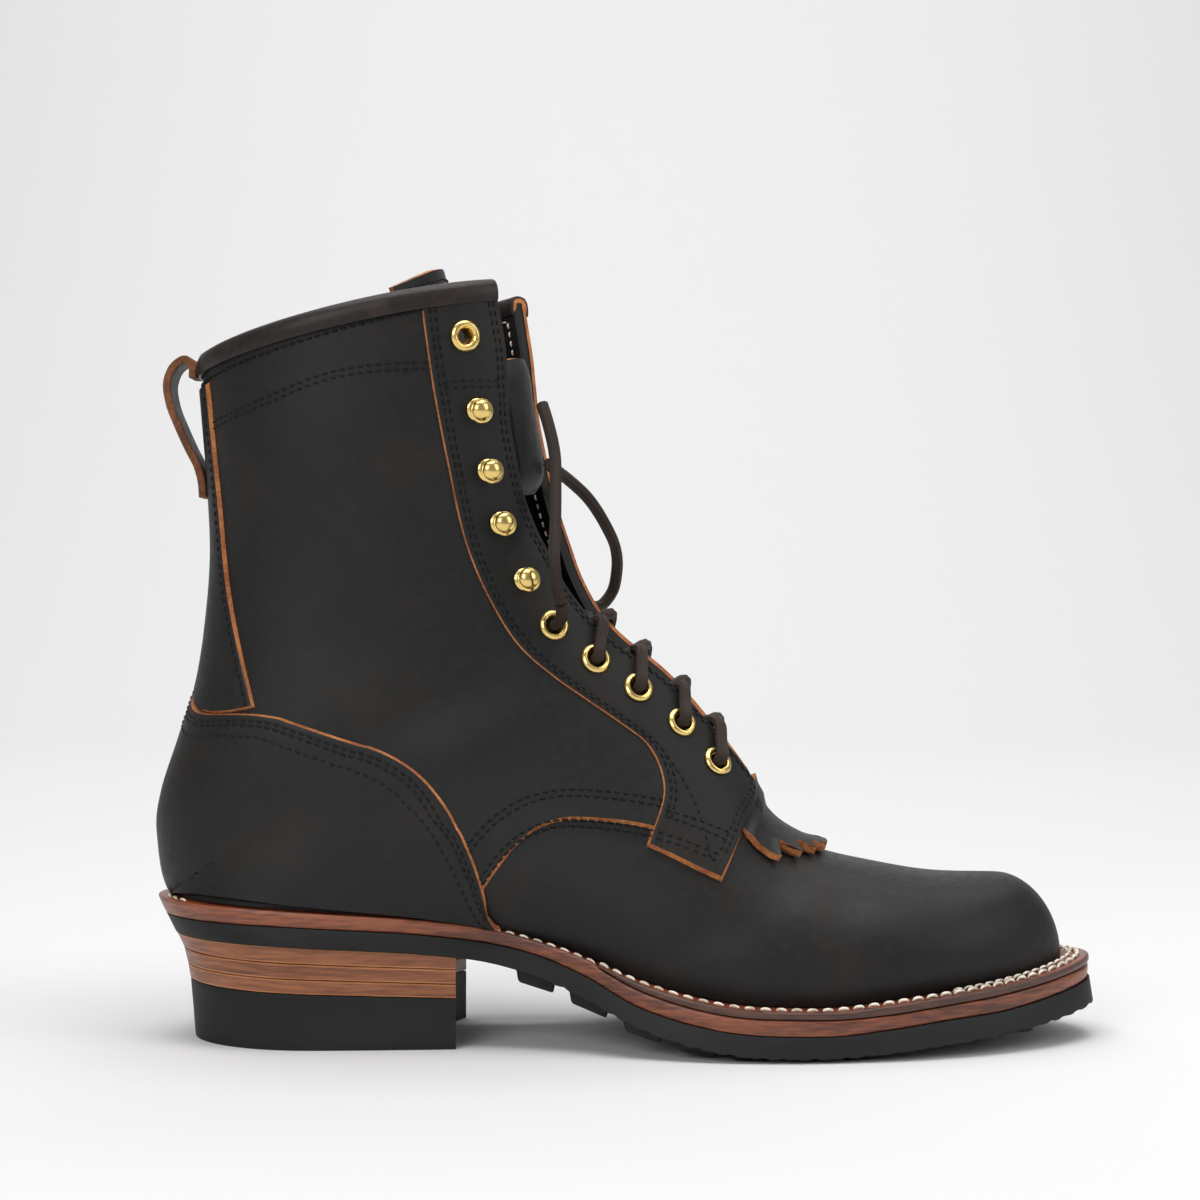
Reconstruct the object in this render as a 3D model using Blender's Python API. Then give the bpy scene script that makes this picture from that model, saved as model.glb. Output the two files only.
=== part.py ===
"""A right-foot logger boot: 8-inch lace-up upper, stitched leather sole and rubber outsole on a stacked heel.

The origin lies on the floor under the middle of the heel. +X points to the toe, +Y to the inner side of the foot
and +Z up. Tables are in millimetres; MM turns them to Blender's metres where a mesh is written.
"""

import math

import bmesh
import bpy
import numpy as np

MM = 0.001
GAP = 0.3
SEAT_GAP = 0.5
WELT_GAP = 0.45
OVERLAY_GAP = 0.7
WRAP_GAP = 1.25

# Overall sizes of the boot, mm
SOLE_REAR = -57.0
SOLE_TIP = 251.5
FEATHER_REAR = -50.0
FEATHER_TIP = 242.1
HEEL_ROUND = 42.0
TOE_ROUND = 75.0
FEATHER_TOE_ROUND = 68.0
TOE_BOX_ROUND = 20.0
TOE_POWER = 2.2
BREAST_X = 43.5
BREAST_HOLLOW = 6.5
WELT_START = 88.5
MIDDLE = np.arange(-36.0, 229.0, 7.5)

# Thicknesses, mm
WALL = 2.2
OVERLAY = 1.5
TONGUE_WALL = 2.6
KILTIE_WALL = 2.4
INSOLE_THICK = 3.2

LATERAL, MEDIAL = -1, 1


class Curve:
    """A smooth curve through a table's rows, one cubic piece between each pair."""

    def __init__(self, knots, values):
        self.knots = np.asarray(knots, float)
        self.values = np.asarray(values, float)
        steps = np.diff(self.knots)
        shape = (-1,) + (1,) * (self.values.ndim - 1)
        rises = np.diff(self.values, axis=0) / steps.reshape(shape)
        slopes = np.empty_like(self.values)
        slopes[0] = rises[0]
        slopes[-1] = rises[-1]
        before = steps[:-1].reshape(shape)
        after = steps[1:].reshape(shape)
        slopes[1:-1] = (before * rises[1:] + after * rises[:-1]) / (before + after)
        self.slopes = slopes

    def __call__(self, at):
        at = min(max(at, self.knots[0]), self.knots[-1])
        i = int(np.clip(np.searchsorted(self.knots, at) - 1, 0, len(self.knots) - 2))
        width = self.knots[i + 1] - self.knots[i]
        t = (at - self.knots[i]) / width
        start = (1 + 2 * t) * (1 - t) ** 2 * self.values[i] + t * (1 - t) ** 2 * width * self.slopes[i]
        end = t * t * (3 - 2 * t) * self.values[i + 1] + t * t * (t - 1) * width * self.slopes[i + 1]
        return start + end


def columns(table, *names):
    """The named columns of a table whose first row holds the names."""
    head = table[0]
    return np.array([[row[head.index(name)] for name in names] for row in table[1:]], float)


def end_round(depth, length, power=2.0):
    """The share of full width at this depth in from a round end: 0 at the end, 1 from the given length on."""
    if depth <= 0:
        return 0.0
    if depth >= length:
        return 1.0
    return (1 - (1 - depth / length) ** power) ** (1 / power)


# The sole's edge in plan: half-widths at the top of the midsole, before the ends are rounded.
SOLE_PLAN = [
    ("x", "lateral", "medial"),
    (-57, 38.0, 37.0),
    (-20, 38.5, 37.5),
    (10, 38.0, 36.5),
    (35, 36.5, 32.0),
    (60, 35.5, 28.5),
    (80, 40.0, 29.0),
    (100, 49.0, 35.5),
    (120, 55.0, 43.5),
    (140, 57.2, 49.0),
    (158, 56.8, 51.0),
    (175, 54.5, 50.5),
    (195, 50.5, 49.0),
    (215, 46.0, 47.5),
    (235, 41.0, 45.0),
    (252, 37.0, 42.0),
]

# The feather line, where the upper meets the sole, in plan.
FEATHER_PLAN = [
    ("x", "lateral", "medial"),
    (-50, 34.5, 33.5),
    (-20, 35.0, 34.0),
    (10, 34.5, 32.5),
    (35, 33.5, 28.5),
    (60, 33.0, 26.0),
    (80, 35.5, 26.0),
    (100, 41.5, 29.5),
    (120, 46.5, 36.0),
    (140, 48.7, 41.0),
    (158, 48.3, 43.0),
    (175, 46.0, 42.5),
    (195, 42.0, 41.0),
    (215, 37.5, 39.5),
    (242, 31.0, 36.0),
]

# The sole's layers seen from the side: the height of each joint along the foot.
SOLE_LEVELS = [
    ("x", "seat", "welt_bottom", "midsole_bottom", "edge_bottom"),
    (-57, 46.7, 45.9, 41.2, 34.9),
    (-20, 45.2, 44.4, 40.3, 34.0),
    (4, 43.6, 42.8, 39.0, 32.7),
    (32, 41.7, 40.9, 37.2, 31.0),
    (55, 38.6, 37.8, 34.2, 28.0),
    (70, 35.0, 34.2, 30.6, 23.7),
    (86, 29.8, 28.9, 24.3, 16.9),
    (100, 24.3, 22.0, 17.0, 10.2),
    (115, 20.0, 17.2, 12.3, 5.3),
    (134, 16.6, 13.8, 9.0, 1.9),
    (150, 15.8, 13.2, 8.3, 1.2),
    (165, 15.8, 13.1, 8.4, 1.4),
    (181, 17.4, 14.3, 10.0, 2.5),
    (200, 19.4, 16.5, 12.1, 4.3),
    (218, 21.2, 18.4, 13.5, 6.1),
    (235, 23.6, 21.0, 16.3, 8.4),
    (254, 27.5, 24.5, 20.2, 11.8),
]

# The heel stack's joints, from the seat of the stack down to the floor, at the rear and at the breast.
HEEL_LAYERS = [
    ("name", "top_rear", "top_breast", "end_top", "end_bottom"),
    ("heel_lift_1", None, None, -50.8, -48.5),
    ("heel_lift_2", 29.4, 25.5, -48.4, -47.2),
    ("heel_lift_3", 24.1, 20.8, -47.1, -46.3),
    ("heel_cap", 19.2, 16.2, -46.2, -44.6),
]

# The tread's flat stretch under the ball, and how far the lugs stand out elsewhere.
TREAD = [
    ("x", "lug_bottom"),
    (52, 24.6),
    (70, 19.6),
    (86, 13.4),
    (100, 7.2),
    (115, 2.6),
    (130, 0.25),
    (138, 0.0),
    (165, 0.0),
    (172, 0.35),
    (185, 1.7),
    (205, 3.6),
    (225, 5.6),
    (250, 9.4),
]
RECESS_START = 50.0
RECESS_DEPTH = 1.6

# Sections of the last from the toe to the collar. Each lies in a plane through a front point and a back point of
# the side view: the planes stand upright over the forefoot, fan round the ankle and lie across the shaft. "widest"
# is the share of the way from front to back where the section is widest; the powers square its two corners.
UPPER_SECTIONS = [
    ("front_x", "front_z", "back_x", "back_z", "lateral", "medial", "widest", "front_power", "back_power", "bow"),
    (242.1, 52.6, 242.1, 27.0, 32.5, 37.5, 0.80, 2.3, 2.0, 0),
    (222, 53.0, 222, 21.9, 38.5, 40.8, 0.80, 2.3, 2.0, 0),
    (200, 53.5, 200, 19.7, 43.8, 42.8, 0.80, 2.25, 2.0, 0),
    (180, 56.8, 180, 17.6, 47.5, 44.6, 0.80, 2.15, 2.0, 0),
    (163, 60.8, 160, 16.1, 50.5, 45.6, 0.80, 2.05, 2.0, 0),
    (150.5, 66.5, 141, 16.5, 50.8, 45.0, 0.80, 2.0, 2.0, 0),
    (143, 73.0, 123, 18.6, 49.5, 43.2, 0.79, 1.95, 2.0, 0),
    (138, 82.0, 103, 23.6, 47.0, 41.0, 0.77, 1.9, 2.0, 0),
    (130.5, 93.5, 80, 32.0, 44.0, 38.8, 0.75, 1.9, 2.0, 0),
    (121.0, 106.0, 54, 38.9, 41.0, 37.2, 0.72, 1.9, 2.0, 0),
    (110.5, 120.0, 25, 42.2, 38.8, 36.0, 0.68, 1.9, 2.1, 0),
    (99.0, 132.0, -5, 44.2, 37.6, 35.6, 0.64, 1.95, 2.1, 0),
    (91.0, 143.0, -32, 45.9, 37.2, 35.6, 0.60, 2.0, 2.1, 0),
    (86.0, 154.0, -49.9, 47.2, 36.8, 35.6, 0.57, 2.0, 2.1, 0),
    (82.5, 165.0, -54.6, 66.0, 36.4, 35.4, 0.54, 2.0, 2.2, 0),
    (79.5, 176.0, -53.4, 79.5, 35.8, 35.2, 0.52, 2.0, 2.2, 0),
    (77.0, 188.0, -47.8, 97.0, 35.6, 35.2, 0.51, 2.0, 2.2, 0),
    (75.0, 199.0, -42.0, 115.5, 36.6, 36.2, 0.50, 2.0, 2.2, 0),
    (73.5, 209.0, -38.6, 137.0, 38.0, 37.6, 0.50, 2.0, 2.2, 0.5),
    (72.3, 219.0, -37.0, 158.0, 39.8, 39.4, 0.50, 2.05, 2.2, 1.0),
    (71.4, 228.5, -37.8, 180.0, 41.6, 41.2, 0.50, 2.1, 2.2, 1.5),
    (70.6, 237.5, -39.6, 203.0, 43.0, 42.6, 0.50, 2.1, 2.2, 2.0),
    (70.0, 246.5, -41.2, 221.8, 43.8, 43.4, 0.50, 2.1, 2.2, 2.5),
]
HEEL_ROW = 13
THROAT_ROW = 6
COLLAR_ROW = len(UPPER_SECTIONS) - 2

# How far each flap's front edge stands from the middle of the throat, from its foot to the collar.
FLAP_EDGES = [
    ("row", "lateral", "medial"),
    (6, 10.0, 8.0),
    (7, 12.0, 9.5),
    (9, 12.2, 9.3),
    (12, 14.8, 10.2),
    (15, 19.8, 12.6),
    (18, 24.8, 16.8),
    (22, 31.0, 23.2),
]
FLAP_RISE = 4.5


class Sole:
    """The sole's plan and layer heights as functions of the place along the foot."""

    def __init__(self):
        self.plan = Curve(columns(SOLE_PLAN, "x")[:, 0], columns(SOLE_PLAN, "lateral", "medial"))
        self.feather_plan = Curve(columns(FEATHER_PLAN, "x")[:, 0], columns(FEATHER_PLAN, "lateral", "medial"))
        names = SOLE_LEVELS[0][1:]
        self.level_names = names
        self.levels = Curve(columns(SOLE_LEVELS, "x")[:, 0], columns(SOLE_LEVELS, *names))
        self.tread = Curve(columns(TREAD, "x")[:, 0], columns(TREAD, "lug_bottom")[:, 0])

    def half(self, x, side, rear=SOLE_REAR, tip=SOLE_TIP, inset=0.0):
        """Half-width of the sole's edge, for an outline that ends at rear and tip."""
        width = self.plan(x)[0 if side == LATERAL else 1] - inset
        return width * end_round(x - rear, HEEL_ROUND) * end_round(tip - x, TOE_ROUND, TOE_POWER)

    def feather(self, x, side, inset=0.0):
        """Half-width of the feather line, or of a line that runs this far inside it."""
        width = self.feather_plan(x)[0 if side == LATERAL else 1] - inset
        rear, tip = FEATHER_REAR + inset, FEATHER_TIP - inset
        return width * end_round(x - rear, HEEL_ROUND - 5) * end_round(tip - x, FEATHER_TOE_ROUND, TOE_POWER)

    def level(self, name, x):
        return float(self.levels(x)[self.level_names.index(name)])

    def lugs(self, x):
        """The height of the lugs' faces, never below the floor."""
        return max(float(self.tread(x)), 0.0)


SOLE = Sole()


class Last:
    """The upper's outer surface: row 0 is the toe and the last row the collar, turn 0 the front and 1 the back."""

    def __init__(self):
        values = columns(UPPER_SECTIONS, *UPPER_SECTIONS[0])
        self.rows = Curve(np.arange(len(values)), values)
        edges = columns(FLAP_EDGES, "row", "lateral", "medial")
        self.flaps = Curve(edges[:, 0], edges[:, 1:])

    def section(self, row, side):
        """The section's front and back points, half-width, widest share, powers and half-width at its back end."""
        front_x, front_z, back_x, back_z, lateral, medial, widest, front_power, back_power, bow = self.rows(row)
        half = lateral if side == LATERAL else medial
        foot = 0.0
        if row <= HEEL_ROW:
            foot = SOLE.feather(back_x, side)
            back_z = SOLE.level("seat", back_x) + SEAT_GAP
        if row < 4:
            half *= end_round(FEATHER_TIP - back_x, FEATHER_TOE_ROUND, TOE_POWER)
            front_z = back_z + (front_z - back_z) * end_round(FEATHER_TIP - front_x, TOE_BOX_ROUND)
        foot = min(foot, 0.985 * half)
        return (front_x, front_z), (back_x, back_z), half, widest, front_power, back_power, bow, foot

    @staticmethod
    def share(turn, widest, front_power, back_power, foot, half):
        """How far back and how wide the section is at this turn, as shares of its depth and its half-width."""
        if turn <= 0.5:
            angle = math.pi * turn
            back = widest * (1 - math.cos(angle) ** (2 / front_power))
            return back, math.sin(angle) ** (2 / front_power)
        end = math.acos(min(foot / max(half, 1e-9), 1.0) ** (back_power / 2))
        angle = end * (turn - 0.5) * 2
        reach = (1 - widest) / math.sin(end) ** (2 / back_power)
        back = widest + reach * math.sin(angle) ** (2 / back_power)
        return back, math.cos(angle) ** (2 / back_power)

    def point(self, row, turn, side):
        """A point of the outer surface."""
        front, back, half, widest, front_power, back_power, bow, foot = self.section(row, side)
        turn = min(max(turn, 0.0), 1.0)
        along, wide = self.share(turn, widest, front_power, back_power, foot, half)
        along -= self.flap_rise(row, turn) / max(math.hypot(front[0] - back[0], front[1] - back[1]), 1e-6)
        x = front[0] + (back[0] - front[0]) * along
        z = front[1] + (back[1] - front[1]) * along + bow * 4 * along * (1 - along)
        return np.array((x, side * half * wide, z))

    @staticmethod
    def flap_rise(row, turn):
        """How far the tongue and kiltie under the flaps lift them over the instep."""
        if not THROAT_ROW < row < THROAT_ROW + 6:
            return 0.0
        start = min((row - THROAT_ROW) / 1.3, 1.0)
        fade = min((THROAT_ROW + 6 - row) / 3.0, 1.0)
        smooth = start * start * (3 - 2 * start) * fade * fade * (3 - 2 * fade)
        return FLAP_RISE * smooth * math.exp(-((turn / 0.24) ** 2))

    def normal(self, row, turn, side):
        """The outward direction there."""
        turn = min(max(turn, 0.02), 0.98)
        step = 0.02
        row = min(row, COLLAR_ROW)
        low, high = max(row - step, 0.01), min(row + step, COLLAR_ROW)
        along = self.point(high, turn, side) - self.point(low, turn, side)
        around = self.point(row, turn + 0.01, side) - self.point(row, turn - 0.01, side)
        out = np.cross(around, along) * side
        return out / np.linalg.norm(out)

    def lifted(self, row, turn, side, lift):
        """A point at a height above the outer surface, on the mid-plane where the turn is 0 or 1."""
        out = self.normal(row, turn, side)
        if turn < 0.001 or turn > 0.999 and row >= HEEL_ROW:
            out[1] = 0.0
            out /= np.linalg.norm(out)
        return self.point(row, turn, side) + out * lift

    def locate(self, x, z, side, low=0.4):
        """The row and turn whose point has this x and z in the side view."""
        def off_line(row):
            front, back = self.section(row, side)[:2]
            return (x - front[0]) * (back[1] - front[1]) - (z - front[1]) * (back[0] - front[0])

        steps = np.linspace(low, COLLAR_ROW, 160)
        signs = [off_line(s) for s in steps]
        row = COLLAR_ROW
        for a, b, fa, fb in zip(steps, steps[1:], signs, signs[1:]):
            if fa * fb <= 0:
                row = a + (b - a) * abs(fa) / max(abs(fa) + abs(fb), 1e-9)
                break
        front, back, half, widest, front_power, back_power, _, foot = self.section(row, side)
        span = (back[0] - front[0]) ** 2 + (back[1] - front[1]) ** 2
        share = ((x - front[0]) * (back[0] - front[0]) + (z - front[1]) * (back[1] - front[1])) / max(span, 1e-9)
        lower, upper = 0.0, 1.0
        for _ in range(30):
            middle = (lower + upper) / 2
            if self.share(middle, widest, front_power, back_power, foot, half)[0] < share:
                lower = middle
            else:
                upper = middle
        return row, (lower + upper) / 2

    def flap_turn(self, row, side):
        """The turn at which a flap's front edge lies."""
        if row <= THROAT_ROW:
            return 0.0
        reach = self.flaps(row)[0 if side == LATERAL else 1]
        _, _, half, _, front_power, _, _, _ = self.section(row, side)
        full = math.asin((reach / half) ** (front_power / 2)) / math.pi
        return full * math.sqrt(min((row - THROAT_ROW) / 0.6, 1.0))


LAST = Last()


def clear_scene():
    for item in list(bpy.data.objects):
        bpy.data.objects.remove(item, do_unlink=True)


def material(name, colour, roughness, metallic=0.0):
    """A plain material, made once for each name. The colour is sRGB hex."""
    found = bpy.data.materials.get(name)
    if found:
        return found
    made = bpy.data.materials.new(name)
    made.use_nodes = True
    shader = made.node_tree.nodes["Principled BSDF"]
    levels = [int(colour[i : i + 2], 16) / 255 for i in (1, 3, 5)]
    linear = [c / 12.92 if c <= 0.04045 else ((c + 0.055) / 1.055) ** 2.4 for c in levels]
    shader.inputs["Base Color"].default_value = (*linear, 1.0)
    shader.inputs["Roughness"].default_value = roughness
    shader.inputs["Metallic"].default_value = metallic
    return made


def black_leather():
    return material("oiled_black_leather", "#343332", 0.55)


def tan_leather():
    return material("cut_tan_leather", "#b5713f", 0.75)


def sole_leather():
    return material("brown_sole_leather", "#8f5233", 0.65)


def black_rubber():
    return material("black_rubber", "#2b2c2b", 0.7)


def brass():
    return material("brass", "#d9b553", 0.28, 1.0)


def lace_cord():
    return material("waxed_lace", "#2a2320", 0.6)


def finish_mesh(name, mesh, look):
    """Welds, turns the faces outward and places the object in the scene."""
    bmesh.ops.remove_doubles(mesh, verts=mesh.verts, dist=0.00002)
    bmesh.ops.dissolve_degenerate(mesh, edges=mesh.edges, dist=0.00001)
    bmesh.ops.recalc_face_normals(mesh, faces=mesh.faces)
    data = bpy.data.meshes.new(name)
    mesh.to_mesh(data)
    mesh.free()
    data.materials.append(look)
    data.shade_smooth()
    data.set_sharp_from_angle(angle=math.radians(40))
    item = bpy.data.objects.new(name, data)
    bpy.context.scene.collection.objects.link(item)
    return item


def add_grid(mesh, grid, closed=False):
    """Adds a grid of points, in mm, as quads. Returns its vertices, row by row."""
    rows = [[mesh.verts.new(np.asarray(p) * MM) for p in row] for row in grid]
    for a, b in zip(rows, rows[1:]):
        pairs = list(zip(a, a[1:], b, b[1:]))
        if closed:
            pairs.append((a[-1], a[0], b[-1], b[0]))
        for p, q, r, s in pairs:
            mesh.faces.new((p, q, s, r))
    return rows


def plate(name, top, bottom, look):
    """A closed solid between two grids of the same size, walled along their edges."""
    mesh = bmesh.new()
    upper = add_grid(mesh, top)
    lower = add_grid(mesh, bottom)
    rims = [
        (upper[0], lower[0]),
        (upper[-1], lower[-1]),
        ([row[0] for row in upper], [row[0] for row in lower]),
        ([row[-1] for row in upper], [row[-1] for row in lower]),
    ]
    for above, below in rims:
        for i in range(len(above) - 1):
            mesh.faces.new((above[i], above[i + 1], below[i + 1], below[i]))
    return finish_mesh(name, mesh, look)


def tube(name, rings, look):
    """A closed solid through rings of points, capped at both ends."""
    mesh = bmesh.new()
    rows = add_grid(mesh, rings, closed=True)
    mesh.faces.new(rows[0])
    mesh.faces.new(rows[-1])
    return finish_mesh(name, mesh, look)


def combine(item, other, operation):
    """Joins or cuts one object with another, which stays as a hidden guide."""
    step = item.modifiers.new(operation.lower(), "BOOLEAN")
    step.operation = operation
    step.solver = "EXACT"
    step.object = other
    other.hide_render = True
    other.display_type = "WIRE"


def eased(start, end, count):
    """Places from start to end, closer together near both ends."""
    turns = np.linspace(0, math.pi, count)
    return start + (end - start) * (1 - np.cos(turns)) / 2


def stations(rear, tip, joint=None):
    """Places along the foot that all the sole's layers share, with closer ones at this layer's own two ends."""
    shares = 1 - np.cos(np.linspace(0, math.pi / 2, 8)[:-1])
    start = rear + (MIDDLE[0] - rear) * shares
    end = tip - (tip - MIDDLE[-1]) * shares[::-1]
    places = np.concatenate([start, MIDDLE, end])
    return np.sort(np.append(places, joint)) if joint is not None else places


def midsole():
    """The full-length leather layer. Its forepart drops by the welt's own thickness at a scarfed joint."""
    tip = SOLE_TIP - 0.3
    low_rear = SOLE_REAR + 2.4
    upper, lower = [], []
    for x, low in zip(stations(SOLE_REAR, tip, WELT_START), stations(low_rear, tip, WELT_START)):
        heights = [SOLE.level("seat" if x < WELT_START else "welt_bottom", x)]
        if x == WELT_START:
            heights = [SOLE.level("seat", x), SOLE.level("welt_bottom", x)]
        half = [SOLE.half(x, side, SOLE_REAR, tip) for side in (LATERAL, MEDIAL)]
        taper = 0.2 + 0.8 * end_round(-low, 60)
        low_half = [SOLE.half(low, side, low_rear, tip, taper) for side in (LATERAL, MEDIAL)]
        depth = SOLE.level("midsole_bottom", low)
        for height in heights:
            upper.append([(x, -half[0], height), (x, half[1], height)])
            lower.append([(low, -low_half[0], depth), (low, low_half[1], depth)])
    return plate("midsole", upper, lower, sole_leather())


def welt():
    """The strip round the forefoot that the upper is stitched to, from the joint on one side to the other."""
    count = 32
    outer_tip, inner_tip = SOLE_TIP, FEATHER_TIP - 9
    shares = np.sin(np.linspace(0, math.pi / 2, count))
    top, bottom = [], []
    for side, order in ((LATERAL, shares), (MEDIAL, shares[::-1][1:])):
        for share in order:
            x_out = WELT_START + GAP + (outer_tip - WELT_START - GAP) * share
            x_in = WELT_START + GAP + (inner_tip - WELT_START - GAP) * share
            y_out = side * SOLE.half(x_out, side, SOLE_REAR, outer_tip)
            y_in = side * (SOLE.feather(x_in, side, 7.0) if share < 1 else 0.0)
            if share == 1:
                y_out = 0.0
            rise = [SOLE.level("seat", x) for x in (x_out, x_in)]
            base = [SOLE.level("welt_bottom", x) + WELT_GAP for x in (x_out, x_in)]
            top.append([(x_out, y_out, rise[0]), (x_in, y_in, rise[1])])
            bottom.append([(x_out, y_out, base[0]), (x_in, y_in, base[1])])
    return plate("welt", top, bottom, material("brown_welt_leather", "#5f3a2c", 0.6))


def recess(x):
    """The underside between rim and lugs, raised forward of the heel."""
    lift = RECESS_DEPTH * min(max((x - RECESS_START) / 10.0, 0.0), 1.0)
    return SOLE.level("edge_bottom", x) + lift


def lug_rows():
    """Places and sizes of the tread lugs: x, y, half-length, half-width."""
    pitch = 17.0
    for number in range(10):
        x = 69.0 + pitch * number
        edge = [SOLE.half(x, side, SOLE_REAR, SOLE_TIP) - 4.0 for side in (LATERAL, MEDIAL)]
        for side, reach in zip((LATERAL, MEDIAL), edge):
            yield x, side * (reach - 7.5), 5.8, 7.5
            room = reach - 18.0
            if room > 9.0:
                half = (room - 1.5) / 2
                yield x + 3.0, side * (1.5 + half), 5.0, half


def tread():
    """All the lugs as one guide: bars with sloping sides that stand out of the outsole's underside."""
    mesh = bmesh.new()
    for x, y, length, width in lug_rows():
        loops = []
        for grow in (0.0, 0.9):
            loop = []
            for a, b in ((-1, -1), (1, -1), (1, 1), (-1, 1)):
                at = x + a * (length + grow)
                height = recess(at) + 1.0 if grow else SOLE.lugs(at)
                loop.append(mesh.verts.new(np.array((at, y + b * (width + grow), height)) * MM))
            loops.append(loop)
        low, high = loops
        mesh.faces.new(low[::-1])
        mesh.faces.new(high)
        for i in range(4):
            mesh.faces.new((low[i], low[(i + 1) % 4], high[(i + 1) % 4], high[i]))
    return finish_mesh("tread_guide", mesh, black_rubber())


def outsole():
    rear_top, rear_low = SOLE_REAR + 2.8, SOLE_REAR + 5.9
    tip_low = SOLE_TIP + 1.4

    def loop(rear, tip, inset, height):
        """One level of the rim, between this level's own ends."""
        rows = []
        for at in stations(rear, tip):
            half = [SOLE.half(at, side, rear, tip, inset) for side in (LATERAL, MEDIAL)]
            rows.append(((at, -half[0], height(at)), (at, half[1], height(at))))
        return rows

    top = loop(rear_top, SOLE_TIP + 0.2, 0.2, lambda x: SOLE.level("midsole_bottom", x) - GAP)
    edge = loop(rear_low, tip_low, -1.2, lambda x: SOLE.level("edge_bottom", x))
    under = loop(rear_low + 2.5, tip_low - 2.5, 1.6, recess)
    mesh = bmesh.new()
    rings = []
    for level in (top, edge, under):
        rings.append([[mesh.verts.new(np.array(p) * MM) for p in row] for row in level])
    for i in range(len(top) - 1):
        mesh.faces.new((rings[0][i][0], rings[0][i + 1][0], rings[0][i + 1][1], rings[0][i][1]))
        mesh.faces.new((rings[2][i][0], rings[2][i][1], rings[2][i + 1][1], rings[2][i + 1][0]))
        for a, b in ((0, 1), (1, 2)):
            for c in (0, 1):
                mesh.faces.new((rings[a][i][c], rings[a][i + 1][c], rings[b][i + 1][c], rings[b][i][c]))
    item = finish_mesh("outsole", mesh, black_rubber())
    combine(item, tread(), "UNION")
    return item


def heel_layers():
    """The stacked lifts and the rubber cap, each hollowed at the breast."""
    values = HEEL_LAYERS[1:]
    made = []
    for i, (name, rear_z, breast_z, end_top, end_bottom) in enumerate(values):
        def height(x, row=i, lower=False):
            index = row + 1 if lower else row
            if index == 0:
                return SOLE.level("edge_bottom", x) - GAP
            if index == len(values):
                return 0.0
            start, stop = values[index][1], values[index][2]
            base = start + (stop - start) * (x + 48.0) / (BREAST_X + 48.0)
            return base + (GAP if lower else 0.0)

        grids = []
        for end, lower, inset in ((end_top, False, 0.4 + 0.45 * i), (end_bottom, True, 0.8 + 0.45 * i)):
            grid = []
            for x in end + (BREAST_X - end) * (1 - np.cos(np.linspace(0, math.pi / 2, 12))):
                corner = [SOLE.half(x, side, end, SOLE_TIP, inset + 1.0) for side in (LATERAL, MEDIAL)]
                row = []
                for share in np.linspace(-1, 1, 7):
                    y = share * (corner[0] if share < 0 else corner[1])
                    ramp = max((x - end) / (BREAST_X - end), 0.0) ** 2
                    at = x - BREAST_HOLLOW * (1 - share * share) * ramp
                    row.append((at, y, height(at, lower=lower)))
                grid.append(row)
            grids.append(grid)
        look = black_rubber() if name == "heel_cap" else sole_leather()
        made.append(plate(name, grids[0], grids[1], look))
    return made


def insole():
    """The board inside the upper, on the welt's inner ledge and the midsole."""
    inset = WALL + 1.8
    top, bottom = [], []
    for x in eased(FEATHER_REAR + inset, FEATHER_TIP - inset, 30):
        half = [SOLE.feather(x, side, inset) for side in (LATERAL, MEDIAL)]
        base = SOLE.level("seat", x) + GAP
        bottom.append([(x, -half[0], base), (x, half[1], base)])
        top.append([(x, -half[0], base + INSOLE_THICK), (x, half[1], base + INSOLE_THICK)])
    return plate("insole", top, bottom, material("insole_leather", "#a97a4e", 0.7))


def upper_rows():
    """Rows of the upper, closer together round the toe and where the heel closes."""
    toe = [3 - 3 * math.sin(a) for a in np.linspace(math.pi / 2, 0, 9)]
    toe += [0.02, 0.1]
    rest = [3.6, 4.2, 4.8, 5.4, 6.0, 6.15, 6.35, 6.6, 7.0, 7.6, 8.4, 9.3, 10.2, 11.1, 11.9]
    heel = [12.5, 12.8, 12.95, 13.0, 13.3, 13.7, 14.3]
    shaft = list(np.linspace(15.1, COLLAR_ROW, 8))
    return sorted(toe + rest + heel + shaft)


def upper():
    """Vamp and quarters as one hollow wall, open at the collar, down the throat and underneath."""
    steps = 9
    mesh = bmesh.new()
    for side in (LATERAL, MEDIAL):
        grid = []
        for row in upper_rows():
            start = LAST.flap_turn(row, side)
            grid.append([LAST.point(row, start + (1 - start) * t, side) for t in np.linspace(0, 1, steps + 1)])
        add_grid(mesh, grid)
    bmesh.ops.remove_doubles(mesh, verts=mesh.verts, dist=0.0001)
    item = finish_mesh("upper", mesh, black_leather())
    wall = item.modifiers.new("wall", "SOLIDIFY")
    wall.thickness = WALL * MM
    wall.offset = -1
    wall.use_even_offset = False
    wall.use_rim = True
    return item


def plate_on_last(name, grid, look, lift, thickness):
    """A solid that follows the upper: a grid of (row, turn, side) places, between two heights above it."""

    def level(height):
        """The grid at this height, kept clear of the sole's edge below it."""
        points = [[LAST.lifted(*place, height) for place in row] for row in grid]
        for point in (p for row in points for p in row):
            point[2] = max(point[2], SOLE.level("seat", point[0]) + SEAT_GAP)
        return points

    return plate(name, level(lift + thickness), level(lift), look)


def spread(places, count, side):
    """Places (row, turn) respaced evenly by length along the upper's surface."""
    points = np.array([LAST.point(row, turn, side) for row, turn in places])
    length = np.concatenate([[0], np.cumsum(np.linalg.norm(np.diff(points, axis=0), axis=1))])
    wanted = np.linspace(0, length[-1], count)
    rows = np.interp(wanted, length, [p[0] for p in places])
    turns = np.interp(wanted, length, [p[1] for p in places])
    return list(zip(rows, turns))


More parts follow.
